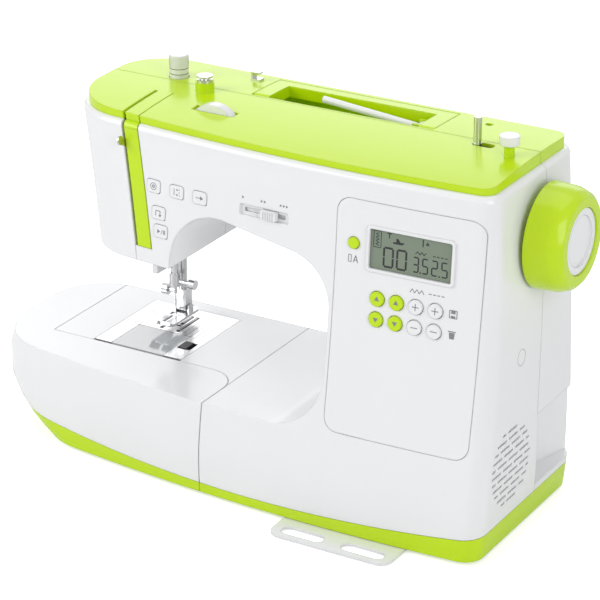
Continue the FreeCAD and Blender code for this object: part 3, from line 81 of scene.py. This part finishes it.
world = bpy.data.worlds.new("studio")
scene.world = world
world.use_nodes = True
tree = world.node_tree
tree.nodes.clear()
ray = tree.nodes.new("ShaderNodeLightPath")
shiny = tree.nodes.new("ShaderNodeMath")
shiny.operation = "MAXIMUM"
seen = tree.nodes.new("ShaderNodeMath")
seen.operation = "MAXIMUM"
ambient = tree.nodes.new("ShaderNodeBackground")
ambient.inputs["Color"].default_value = (0.95, 0.97, 1.0, 1)
ambient.inputs["Strength"].default_value = 0.46
backdrop = tree.nodes.new("ShaderNodeBackground")
backdrop.inputs["Color"].default_value = (1, 1, 1, 1)
backdrop.inputs["Strength"].default_value = 1.0
choose = tree.nodes.new("ShaderNodeMixShader")
sky = tree.nodes.new("ShaderNodeOutputWorld")
tree.links.new(ray.outputs["Is Glossy Ray"], shiny.inputs[0])
tree.links.new(ray.outputs["Is Transmission Ray"], shiny.inputs[1])
tree.links.new(ray.outputs["Is Camera Ray"], seen.inputs[0])
tree.links.new(shiny.outputs[0], seen.inputs[1])
tree.links.new(seen.outputs[0], choose.inputs[0])
tree.links.new(ambient.outputs[0], choose.inputs[1])
tree.links.new(backdrop.outputs[0], choose.inputs[2])
tree.links.new(choose.outputs[0], sky.inputs["Surface"])

bpy.ops.mesh.primitive_plane_add(size=8.0, location=(0, 0, 0))
floor = bpy.context.object
floor.name = "floor"
floor_paper = bpy.data.materials.new("floor_paper")
floor_paper.use_nodes = True
tree = floor_paper.node_tree
tree.nodes.clear()
ray = tree.nodes.new("ShaderNodeLightPath")
paper = tree.nodes.new("ShaderNodeBsdfDiffuse")
paper.inputs["Color"].default_value = (0.92, 0.92, 0.92, 1)
lift = tree.nodes.new("ShaderNodeEmission")
lift.inputs["Strength"].default_value = 0.5
lifted = tree.nodes.new("ShaderNodeAddShader")
choose = tree.nodes.new("ShaderNodeMixShader")
surface = tree.nodes.new("ShaderNodeOutputMaterial")
tree.links.new(paper.outputs[0], lifted.inputs[0])
tree.links.new(lift.outputs[0], lifted.inputs[1])
tree.links.new(ray.outputs["Is Camera Ray"], choose.inputs[0])
tree.links.new(paper.outputs[0], choose.inputs[1])
tree.links.new(lifted.outputs[0], choose.inputs[2])
tree.links.new(choose.outputs[0], surface.inputs["Surface"])
floor.data.materials.append(floor_paper)


# Base tray: the lime-green skirt that closes the machine from below.
# It is injection-moulded glossy ABS, coloured right through, with a very fine spark texture.
# Screws from underneath hold it to the pads of the cast frame.
def finish(name, color, rough, metal=0.0, grain=900.0, bump=0.02, vary=0.04, coat=0.0, edge=0.0, shine=0.5):
    """Surface whose colour drifts slightly, with fine grain in its roughness and relief."""
    mat = bpy.data.materials.new(name)
    mat.use_nodes = True
    tree = mat.node_tree
    shader = tree.nodes["Principled BSDF"]
    shader.inputs["Metallic"].default_value = metal
    shader.inputs["Specular IOR Level"].default_value = shine
    shader.inputs["Coat Weight"].default_value = coat
    shader.inputs["Coat Roughness"].default_value = 0.08
    where = tree.nodes.new("ShaderNodeTexCoord")
    fine = tree.nodes.new("ShaderNodeTexNoise")
    fine.inputs["Scale"].default_value = grain
    fine.inputs["Detail"].default_value = 3.0
    drift = tree.nodes.new("ShaderNodeTexNoise")
    drift.inputs["Scale"].default_value = 14.0
    shades = tree.nodes.new("ShaderNodeValToRGB")
    shades.color_ramp.elements[0].color = [c * (1 - vary) for c in color] + [1]
    shades.color_ramp.elements[1].color = list(color) + [1]
    gloss = tree.nodes.new("ShaderNodeMapRange")
    gloss.inputs["To Min"].default_value = rough * 0.85
    gloss.inputs["To Max"].default_value = rough * 1.15
    relief = tree.nodes.new("ShaderNodeBump")
    relief.inputs["Strength"].default_value = bump
    relief.inputs["Distance"].default_value = 0.0002
    tree.links.new(where.outputs["Object"], fine.inputs["Vector"])
    tree.links.new(where.outputs["Object"], drift.inputs["Vector"])
    tree.links.new(drift.outputs["Fac"], shades.inputs["Fac"])
    tree.links.new(shades.outputs["Color"], shader.inputs["Base Color"])
    tree.links.new(fine.outputs["Fac"], gloss.inputs["Value"])
    tree.links.new(gloss.outputs["Result"], shader.inputs["Roughness"])
    tree.links.new(fine.outputs["Fac"], relief.inputs["Height"])
    if edge:
        rounded = tree.nodes.new("ShaderNodeBevel")
        rounded.samples = 6
        rounded.inputs["Radius"].default_value = edge
        tree.links.new(rounded.outputs["Normal"], relief.inputs["Normal"])
    tree.links.new(relief.outputs["Normal"], shader.inputs["Normal"])
    return mat


body_of = {node: body for body, nodes in frame["record"]["behaviour"]["bodies"].items() for node in nodes}


def moulded(node, mat, crease=32.0):
    """The node's own form with its facets welded into smooth faces, standing for that node."""
    mesh = frame["nodes"][node].data.copy()
    work = bmesh.new()
    work.from_mesh(mesh)
    bmesh.ops.remove_doubles(work, verts=work.verts, dist=1e-6)
    bmesh.ops.dissolve_limit(work, angle_limit=math.radians(0.4), verts=work.verts, edges=work.edges)
    for face in work.faces:
        face.smooth = True
    for edge in work.edges:
        edge.smooth = len(edge.link_faces) == 2 and edge.calc_face_angle(0.0) < math.radians(crease)
    work.to_mesh(mesh)
    work.free()
    mesh.materials.clear()
    mesh.materials.append(mat)
    piece = bpy.data.objects.new(node + "_form", mesh)
    scene.collection.objects.link(piece)
    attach(piece, body_of[node])
    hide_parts(node)
    return piece


lime_abs = finish("lime_abs", (0.53, 0.745, 0.003), 0.22, coat=0.12, edge=0.0012, shine=0.36)
moulded("base_tray", lime_abs)

# Feet: four soft black rubber pads under the tray that keep the machine from walking.
# They are pressed into shallow seats.
pad_rubber = finish("pad_rubber", (0.02, 0.02, 0.02), 0.75, grain=1200, bump=0.2)
moulded("rubber_feet", pad_rubber)

# Cast frame: the aluminium skeleton with the bearings and bar guides.
# It is die-cast, left as cast, and machined only where shafts and bars run.
cast_aluminium = finish("cast_aluminium", (0.52, 0.53, 0.54), 0.45, metal=1.0, grain=700, bump=0.3)
moulded("machine_frame", cast_aluminium)

# Motor and belts: a black motor can low in the tower with a toothed pulley on its shaft.
# Two ribbed rubber belts take the drive up to the main shaft and down to the hook shaft.
# The motor is bolted to the frame, and the belts sit under slight tension.
motor_black = finish("motor_black", (0.015, 0.015, 0.016), 0.42, grain=1500, bump=0.1)
moulded("drive_motor", motor_black)
moulded("motor_pulley", motor_black)
moulded("drive_belts", pad_rubber)

# Shafts: ground steel bars in plain bearings, with their pulleys, crank and gear pressed on.
# The upper one carries the handwheel, the lower one turns the hook.
ground_steel = finish("ground_steel", (0.62, 0.62, 0.63), 0.22, metal=1.0, grain=2200, bump=0.05)
moulded("upper_shaft", ground_steel)
moulded("lower_shaft", ground_steel)

# Hook, bobbin case and bobbin: a steel hook cup that turns round a black drop-in case.
# The bobbin is a clear moulded spool that lies loose in the case.
moulded("rotary_hook", ground_steel)
moulded("bobbin_case", motor_black)
clear_acrylic = finish("clear_acrylic", (0.50, 0.52, 0.53), 0.10, coat=0.6, grain=1600)
moulded("bobbin", clear_acrylic)

# Needle bar, clamp and needle: a polished steel bar that slides in the guides of the frame.
# The clamp on its lower end holds the needle's shank with a thumb screw.
moulded("needle_bar", ground_steel)
moulded("needle_clamp", ground_steel)
moulded("needle", ground_steel)

# Take-up lever: a stamped and plated steel blade that pulls the thread tight after each stitch.
# It swings on a pin in the frame, with its eye in the left slot of the head.
moulded("take_up_lever", ground_steel)

# Presser bar, holder, foot and lifter: a second bar carries a snap-on foot of stamped steel.
# The lifter behind the head is a black lever on a pin that raises the bar.
moulded("presser_bar", ground_steel)
moulded("foot_holder", ground_steel)
moulded("presser_foot", ground_steel)
moulded("presser_lifter", motor_black)

# Threader: a slim white lever beside the needle bar that swings a hook to the needle's eye.
# It is moulded in ABS and slides on a pin, with a light return spring.
white_abs = finish("white_abs", (0.81, 0.81, 0.815), 0.24, coat=0.3, edge=0.0012)
moulded("needle_threader", white_abs)

# Feed dogs: four toothed rows of hardened steel that move the cloth on by one stitch.
# They are milled in one piece with their carrier and show through the needle plate.
tooth_steel = finish("tooth_steel", (0.30, 0.30, 0.31), 0.35, metal=1.0, grain=2200, bump=0.05)
moulded("feed_dogs", tooth_steel)


# Needle plate: polished steel sheet, screwed to the frame flush with the bed.
# Seam guide lines are engraved on both sides of the needle and filled with dark paint.
def print_marks(name, shapes, place, mat, body, depth=0.06):
    """Flat polygons of local x and y in millimetres, with the slight thickness of a print."""
    work = bmesh.new()
    for shape in shapes:
        low = [work.verts.new((a / 1000, b / 1000, 0)) for a, b in shape]
        high = [work.verts.new((a / 1000, b / 1000, depth / 1000)) for a, b in shape]
        work.faces.new(high)
        work.faces.new(list(reversed(low)))
        for i in range(len(shape)):
            j = (i + 1) % len(shape)
            work.faces.new((low[i], low[j], high[j], high[i]))
    bmesh.ops.recalc_face_normals(work, faces=work.faces)
    mesh = bpy.data.meshes.new(name)
    work.to_mesh(mesh)
    work.free()
    mesh.transform(place)
    mesh.materials.append(mat)
    piece = bpy.data.objects.new(name, mesh)
    scene.collection.objects.link(piece)
    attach(piece, body)
    return piece


def stroke(x0, y0, x1, y1, width):
    """Straight stroke between two points."""
    run = Vector((x1 - x0, y1 - y0))
    side = Vector((-run.y, run.x)).normalized() * width / 2
    return [(x0 + side.x, y0 + side.y), (x0 - side.x, y0 - side.y),
            (x1 - side.x, y1 - side.y), (x1 + side.x, y1 + side.y)]


moulded("needle_plate", ground_steel)
black_ink = finish("black_ink", (0.02, 0.02, 0.02), 0.5, grain=2500)
guide_lines = [stroke(dx, -14, dx, 16, 0.25) for dx in (12, 16, 20, 24, 28, -20, -24, -28)]
plate_top = Matrix.Translation((-0.1065, 0.044, 0.06901))
print_marks("plate_guide_lines", guide_lines, plate_top, black_ink, "housing", 0.03)

# Bobbin cover and its release: a clear lid over the bobbin, held by a small black sliding catch.
# Both are moulded and drop into the plate.
moulded("bobbin_cover", clear_acrylic)
moulded("cover_release", motor_black)

# Free arm cover: the slim white bed shell that sleeves are drawn over.
# It is moulded ABS, screwed to the lower plate of the frame, and butts against the tower.
moulded("free_arm_cover", white_abs)

# Housing shells: the front and rear halves of the tower, arm and head.
# They are moulded in white ABS and clipped and screwed together along the side seam.
moulded("front_housing", white_abs)
moulded("rear_housing", white_abs)


# Screw plug: a round push-in cap over a housing screw on the right-hand wall.
# It is the same white ABS, and only its fine outline shows.
def ring_strokes(radius, width, sides=28):
    turns = [2 * math.pi * i / sides for i in range(sides + 1)]
    points = [(radius * math.cos(t), radius * math.sin(t)) for t in turns]
    return [stroke(*points[i], *points[i + 1], width) for i in range(sides)]


PLUG_RADIUS = 5.6
grey_ink = finish("grey_ink", (0.22, 0.22, 0.23), 0.5, grain=2500)
wall_mesh = frame["nodes"]["front_housing"].data
wall_tree = BVHTree.FromPolygons([v.co for v in wall_mesh.vertices], [p.vertices for p in wall_mesh.polygons])
wall_point, wall_out = wall_tree.ray_cast(Vector((0.3, -0.0006, 0.130)), Vector((-1, 0, 0)))[:2]
if wall_point is not None:
    wall_up = wall_out.cross(Vector((0, 1, 0))) * -1
    wall_side = wall_up.cross(wall_out)
    plug_place = Matrix.Translation(wall_point + wall_out * 0.00001) @ Matrix(
        (wall_side, wall_up, wall_out)).transposed().to_4x4()
    print_marks("screw_plug_outline", ring_strokes(PLUG_RADIUS, 0.35), plug_place, grey_ink, "housing",
                0.03)

# Power inlet: a black two-pin socket block in the notch of the rear corner.
# It is moulded in flame-proof plastic with brass pins, and snaps into the wall.
moulded("power_inlet", motor_black)

# Face cover: the white door on the left end of the head, over the needle bar mechanism.
# It is a moulded shell held by one screw and two clips, and is left plain.
moulded("face_cover", white_abs)


# Thread slot strip: the green band between the two thread slots of the head.
# It is moulded with a bend at the top, so that it runs unbroken into the green top cover.
def on_front(x, z, lift):
    """Frame on the bowed front skin at x and z in millimetres, raised by lift."""
    def lean(h):
        drop = 250.0 - h
        return -39.6 - drop * math.tan(math.radians(2.5)) - drop ** 2 / 2610.0
    across = (x - 70.0) / 1450.0
    out = Vector((across, -1.0, lean(z + 0.5) - lean(z - 0.5))).normalized()
    right = Vector((1.0, across, 0.0)).normalized()
    at = Vector((x, lean(z) + (x - 70.0) ** 2 / 2900.0, z)) + out * lift
    return Matrix.Translation(at / 1000.0) @ Matrix((right, out.cross(right), out)).transposed().to_4x4()


moulded("thread_slot_cover", lime_abs)
BEND_RADIUS = 4.0
BEND_THICK = 1.4
STRIP_HALF = 5.8
work = bmesh.new()
rows = []
bend = [(math.radians(9 * i), 0.0) for i in range(11)] + [(math.pi / 2, 2.0), (math.pi / 2, 4.5)]
for turn, back in bend:
    row = []
    for radius in (BEND_RADIUS, BEND_RADIUS - BEND_THICK):
        height = 246.0 + radius * math.sin(turn)
        middle = -92.0 + (250.0 - height) * 15.0 / 85.0
        for step in (-1.0, -0.5, 0.0, 0.5, 1.0):
            x = middle + STRIP_HALF * step
            skin_y = on_front(x, 246.0, 0.0).translation.y * 1000.0
            y = skin_y + BEND_RADIUS - radius * math.cos(turn) + back
            row.append(work.verts.new((x / 1000, y / 1000, height / 1000)))
    rows.append(row)
for low, high in zip(rows, rows[1:]):
    for i in range(4):
        work.faces.new((low[i], low[i + 1], high[i + 1], high[i]))
        work.faces.new((low[5 + i], high[5 + i], high[6 + i], low[6 + i]))
    work.faces.new((low[0], high[0], high[5], low[5]))
    work.faces.new((low[4], low[9], high[9], high[4]))
for row, flip in ((rows[0], False), (rows[-1], True)):
    for i in range(4):
        corners = (row[i], row[5 + i], row[6 + i], row[i + 1])
        work.faces.new(tuple(reversed(corners)) if flip else corners)
bmesh.ops.recalc_face_normals(work, faces=work.faces)
for face in work.faces:
    face.smooth = True
for edge in work.edges:
    edge.smooth = len(edge.link_faces) == 2 and edge.calc_face_angle(0.0) < math.radians(32)
mesh = bpy.data.meshes.new("thread_slot_bend")
work.to_mesh(mesh)
work.free()
mesh.materials.append(lime_abs)
strip_bend = bpy.data.objects.new("thread_slot_bend", mesh)
scene.collection.objects.link(strip_bend)
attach(strip_bend, "housing")


# Control panel: a large white insert on the tower's front, with grey pad-printed symbols.
# It is moulded ABS and clips into the housing from behind.
def chain(points, width):
    return [stroke(*points[i], *points[i + 1], width) for i in range(len(points) - 1)]


moulded("control_panel", white_abs)
PRINT_LIFT = 0.09
TENS_X, UNITS_X, WIDTH_X, LENGTH_X = 107.7, 121.6, 135.5, 149.4
UPPER_ROW_Z, LOWER_ROW_Z = 170.0, 156.1
MODE_X = 88.5
SIDE_ICON_X = 161.8
ROW_ICON_Z = 180.4
box_outline = [(-3.4, -2.4), (-1.4, -2.4), (-1.4, 2.4), (-3.4, 2.4), (-3.4, -2.4)]
letter_a = chain([(0.2, -2.4), (1.8, 2.4), (3.4, -2.4)], 0.6) + chain([(0.8, -0.8), (2.8, -0.8)], 0.5)
zigzag = [(-5, -1.2), (-3.3, 1.4), (-1.7, -1.2), (0, 1.4), (1.7, -1.2), (3.3, 1.4), (5, -1.2)]
card = [(-2.6, -2.6), (2.6, -2.6), (2.6, 2.6), (-2.6, 2.6), (-2.6, -2.6)]
card_windows = [[(-1.5, 0.4), (1.5, 0.4), (1.5, 2.4), (-1.5, 2.4)],
                [(-1.5, -2.4), (1.5, -2.4), (1.5, -1.0), (-1.5, -1.0)]]
bin_shape = [[(-2.1, 1.5), (-1.6, -2.8), (1.6, -2.8), (2.1, 1.5)], stroke(-2.7, 2.2, 2.7, 2.2, 0.7)]
dashes = [stroke(-5.5 + 3 * i, 0, -3.5 + 3 * i, 0, 0.6) for i in range(4)]
for name, shapes, x, z in (("mode_icon", chain(box_outline, 0.45) + letter_a, MODE_X, 193.6),
                           ("width_icon", chain(zigzag, 0.5), WIDTH_X, ROW_ICON_Z),
                           ("length_icon", dashes, LENGTH_X, ROW_ICON_Z),
                           ("save_icon", chain(card, 0.5) + card_windows, SIDE_ICON_X, UPPER_ROW_Z),
                           ("clear_icon", bin_shape, SIDE_ICON_X, 156.2)):
    print_marks(name, shapes, on_front(x, z, PRINT_LIFT), grey_ink, "housing")


# Display: a reflective liquid crystal cell under a clear window, sunk a millimetre into the panel.
# Its dark figures give the pattern number, the stitch width and the stitch length.
def figure(x, y, width, height, number, thick):
    """Seven-segment figure with its lower left corner at x and y."""
    half = height / 2
    segments = {"a": (0, height, width, height), "b": (width, half, width, height),
                "c": (width, 0, width, half), "d": (0, 0, width, 0), "e": (0, 0, 0, half),
                "f": (0, half, 0, height), "g": (0, half, width, half)}
    shapes = []
    for key in {"0": "abcdef", "2": "abged", "3": "abgcd", "5": "afgcd"}[number]:
        x0, y0, x1, y1 = segments[key]
        trim = thick * 0.25
        if x0 == x1:
            shapes.append(stroke(x + x0, y + y0 + trim, x + x1, y + y1 - trim, thick))
        else:
            shapes.append(stroke(x + x0 + trim, y + y0, x + x1 - trim, y + y1, thick))
    return shapes


def triangle(x, y, size, up=1):
    return [(x - size, y - up * size * 0.6), (x + size, y - up * size * 0.6), (x, y + up * size)]


def point_dot(x, y, size):
    return [(x, y), (x + size, y), (x + size, y + size), (x, y + size)]


lcd_cell = finish("lcd_cell", (0.175, 0.22, 0.155), 0.12, coat=0.6, grain=3000, vary=0.03)
moulded("display", lcd_cell)
shown = figure(-19.3, -10.8, 6.4, 12.8, "0", 1.35) + figure(-9.8, -10.8, 6.4, 12.8, "0", 1.35)
shown += figure(1.8, -10.4, 3.6, 9.8, "3", 0.95) + [point_dot(6.5, -11.0, 1.0)]
shown += figure(8.4, -10.4, 3.6, 9.8, "5", 0.95)
shown += figure(15.0, -10.4, 3.8, 9.8, "2", 0.95) + [point_dot(20.0, -11.0, 1.0)]
shown += figure(22.0, -10.4, 3.8, 9.8, "5", 0.95)
shown += chain([(3 + 1.5 * i, 3.6 if i % 2 else 1.6) for i in range(6)], 0.55)
shown += [stroke(15.4 + 2.8 * i, 2.4, 17.2 + 2.8 * i, 2.4, 0.65) for i in range(4)]
shown += chain([(-27, 1.2), (-21.8, 1.2), (-21.8, 12.3), (-27, 12.3), (-27, 1.2)], 0.45)
shown += chain([(-25.6 if i % 2 else -23.2, 2.4 + 1.1 * i) for i in range(9)], 0.5)
shown += chain([(-17.6, 11.9), (-14.4, 11.9)], 0.7) + chain([(-16, 11.9), (-16, 8.6)], 0.7)
foot_sign = [(-13.2, 5.6), (-6.6, 5.6), (-5.0, 7.2), (-8, 7.2),
             (-9.6, 9.4), (-11.0, 9.4), (-11.0, 6.8), (-13.2, 6.8)]
shown.append(foot_sign)
shown += [stroke(8.0, 7.2, 8.0, 12.2, 0.75), triangle(11.2, 9.6, 1.4)]
DISPLAY_X, DISPLAY_Z, DISPLAY_SUNK = 129.4, 203.2, -0.98
display_face = on_front(DISPLAY_X, DISPLAY_Z, DISPLAY_SUNK)
print_marks("display_figures", shown, display_face, black_ink, "housing", 0.05)

# Panel buttons: nine short round caps on silicone springs, moulded in ABS with grey symbols.
# Those for the pattern and the mode are green, those for width and length white.
pressed = {"mode_button": lime_abs}
for name in ("pattern_tens_up", "pattern_units_up", "pattern_tens_down", "pattern_units_down"):
    pressed[name + "_button"] = lime_abs
for name in ("width_plus", "width_minus", "length_plus", "length_minus"):
    pressed[name + "_button"] = white_abs
for node, mat in pressed.items():
    moulded(node, mat)
CAP_TOP = 1.21
plus = [stroke(-2.4, 0, 2.4, 0, 0.6), stroke(0, -2.4, 0, 2.4, 0.6)]
minus = [stroke(-2.4, 0, 2.4, 0, 0.6)]
for z, way, up, sign, cross in ((UPPER_ROW_Z, "up", 1, "plus", plus),
                                (LOWER_ROW_Z, "down", -1, "minus", minus)):
    for x, unit in ((TENS_X, "tens"), (UNITS_X, "units")):
        key = "pattern_%s_%s" % (unit, way)
        print_marks(key + "_mark", [triangle(0, 0, 1.9, up)], on_front(x, z, CAP_TOP), grey_ink,
                    key + "_key")
    for x, kind in ((WIDTH_X, "width"), (LENGTH_X, "length")):
        key = "%s_%s" % (kind, sign)
        print_marks(key + "_mark", cross, on_front(x, z, CAP_TOP), grey_ink, key + "_key")


# Head keys: five white rectangular keys with pad-printed grey symbols.
# They are moulded ABS on leaf springs, set nearly flush in the front.
def play(x, y, size):
    return [(x - size * 0.7, y - size), (x + size, y), (x - size * 0.7, y + size)]


KEY_TOP = 0.61
needle_stop = [stroke(-2, -2.4, -2, 2.4, 0.5), triangle(0.4, 1.8, 0.9), triangle(0.4, -1.8, 0.9, -1)]
needle_stop += [stroke(1.9, y, 2.7, y, 0.6) for y in (-2, 0, 2)]
slow_sew = [play(1.6, 0, 1.5)] + [stroke(-3.0 + 1.5 * i, 0, -2.2 + 1.5 * i, 0, 0.8) for i in range(3)]
reverse = chain([(-2.2, -2), (-2.2, 1.6), (1.4, 1.6), (1.4, -1.2)], 0.55) + [triangle(1.4, -1.6, 1.2, -1)]
start_stop = [play(-1.6, 0, 1.5), stroke(0.6, -1.6, 1.6, 1.6, 0.4)]
start_stop += [stroke(x, -1.5, x, 1.5, 0.6) for x in (2.6, 3.6)]
thread_lock = ring_strokes(2.4, 0.45) + ring_strokes(0.9, 0.7, 12)
TOP_KEYS_Z = 210.2
for name, shapes, x, z in (("thread_lock", thread_lock, -70.5, TOP_KEYS_Z),
                           ("needle_stop", needle_stop, -50.9, TOP_KEYS_Z),
                           ("slow_sew", slow_sew, -31.7, TOP_KEYS_Z),
                           ("reverse", reverse, -65.7, 192.2), ("start_stop", start_stop, -63.5, 179.6)):
    moulded(name + "_button", white_abs)
    print_marks(name + "_mark", shapes, on_front(x, z, KEY_TOP), grey_ink, name + "_key")

# Speed slider: a white ribbed knob in a shallow slot, with one, two and three arrows printed over it.
# The knob is moulded with a stem that reaches a sliding resistor behind the wall.
moulded("speed_slider", white_abs)
SLIDER_X, SLIDER_Z, ARROWS_Z = 24.1, 210.0, 218.4
for count, x in ((1, 3.0), (2, 19.0), (3, 35.0)):
    arrows = [play((i - (count - 1) / 2) * 2.4, 0, 1.0) for i in range(count)]
    print_marks("speed_arrows_%d" % count, arrows, on_front(x, ARROWS_Z, PRINT_LIFT), grey_ink, "housing")
ribs = [stroke(-3.6 + 1.8 * i, -2.6, -3.6 + 1.8 * i, 2.6, 0.6) for i in range(5)]
print_marks("speed_ribs", ribs, on_front(SLIDER_X, SLIDER_Z, 2.6), white_abs, "speed", 0.3)
shutter = [[(-28.5, -2.6), (28.5, -2.6), (28.5, 2.6), (-28.5, 2.6)]]
behind_slot = on_front(SLIDER_X, SLIDER_Z, -4.2)
print_marks("speed_shutter", shutter, behind_slot, white_abs, "speed", 0.6)

# Top covers: two crowned green lids over the arm, with the handle well in the rear one.
# They are moulded in the same glossy lime ABS and clip into the housing's rim.
moulded("front_top_cover", lime_abs)
moulded("rear_top_cover", lime_abs)

# Tension dial: a white wheel on edge in a slot of the front cover.
# It is moulded ABS on a steel pin, ribbed for the finger.
moulded("tension_dial", white_abs)


# Pressure dial: a white push-in knob at the back of the head, with dark setting rings and a ribbed top.
# It is turned down over the presser bar's spring.
def band_ring(name, x, y, z, radius, width, mat, body, proud=0.06, sides=48):
    """Thin closed ring round a vertical knob."""
    work = bmesh.new()
    loops = []
    inner, outer = radius - 0.05, radius + proud
    for r, h in ((inner, z), (outer, z), (outer, z + width), (inner, z + width)):
        loop = []
        for i in range(sides):
            turn = 2 * math.pi * i / sides
            at = Vector((x + r * math.cos(turn), y + r * math.sin(turn), h))
            loop.append(work.verts.new(at / 1000))
        loops.append(loop)
    for k in range(4):
        a, b = loops[k], loops[(k + 1) % 4]
        for i in range(sides):
            j = (i + 1) % sides
            work.faces.new((a[i], a[j], b[j], b[i]))
    bmesh.ops.recalc_face_normals(work, faces=work.faces)
    mesh = bpy.data.meshes.new(name)
    work.to_mesh(mesh)
    work.free()
    mesh.materials.append(mat)
    piece = bpy.data.objects.new(name, mesh)
    scene.collection.objects.link(piece)
    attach(piece, body)


moulded("pressure_dial", white_abs)
dial_low, dial_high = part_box("pressure_dial")
dial_x = (dial_low[0] + dial_high[0]) * 500.0
dial_y = (dial_low[1] + dial_high[1]) * 500.0
dial_radius = (dial_high[0] - dial_low[0]) * 500.0
dial_top = dial_high[2] * 1000.0
for count, drop in enumerate((13.6, 9.8)):
    band_ring("pressure_line_%d" % count, dial_x, dial_y, dial_top - drop, dial_radius, 0.45, black_ink,
              "pressure")
RIB_COUNT = 44
rib_low, rib_high = dial_top - 8.6, dial_top - 1.0
work = bmesh.new()
for i in range(RIB_COUNT):
    turn = 2 * math.pi * i / RIB_COUNT
    out = Vector((math.cos(turn), math.sin(turn), 0))
    side = Vector((-out.y, out.x, 0)) * 0.22
    foot = Vector((dial_x, dial_y, 0)) + out * (dial_radius - 0.3)
    crest = Vector((dial_x, dial_y, 0)) + out * (dial_radius + 0.12)
    ends = []
    for height in (rib_low, rib_high):
        up = Vector((0, 0, height))
        ends.append([work.verts.new((p + up) / 1000) for p in (foot - side, foot + side, crest)])
    for k in range(3):
        m = (k + 1) % 3
        work.faces.new((ends[0][k], ends[0][m], ends[1][m], ends[1][k]))
    work.faces.new(ends[0][::-1])
    work.faces.new(ends[1])
bmesh.ops.recalc_face_normals(work, faces=work.faces)
mesh = bpy.data.meshes.new("pressure_ribs")
work.to_mesh(mesh)
work.free()
mesh.materials.append(white_abs)
pressure_ribs = bpy.data.objects.new("pressure_ribs", mesh)
scene.collection.objects.link(pressure_ribs)
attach(pressure_ribs, "pressure")

# Thread guides: a small post and clip of plated steel that lead the thread to the winder.
# They are riveted to the top covers from below.
moulded("thread_guides", ground_steel)

# Spool pin: a white moulded rod that holds the reel of thread, lying nearly flat in the well.
# It hinges on a small pin at its right-hand end.
moulded("spool_pin", white_abs)

# Bobbin winder: a plated spindle that slides against a white stop.
# The stop is moulded on the cover, the spindle runs in a slot beside it.
moulded("winder_spindle", ground_steel)
moulded("winder_stopper", white_abs)

# Carry handle: a green moulded loop for lifting the whole machine.
# It folds down into the well of the rear cover on two pins.
moulded("carry_handle", lime_abs)

# Handwheel: a green rim with a white cap on the end of the upper shaft.
# Both are moulded ABS, and the wheel is pressed on the shaft.
moulded("handwheel", lime_abs)
moulded("handwheel_cap", white_abs)

# Extension table: the white table that slides over the free arm, with its green base band.
# Two moulded shells are welded together, and the inside holds small things.
moulded("extension_table", white_abs)
moulded("extension_base", lime_abs)

# Stitch chart: a thin white card of plastic that pulls out from under the tray on rails.
# It is cut from sheet, with two finger loops.
moulded("stitch_chart", white_abs)
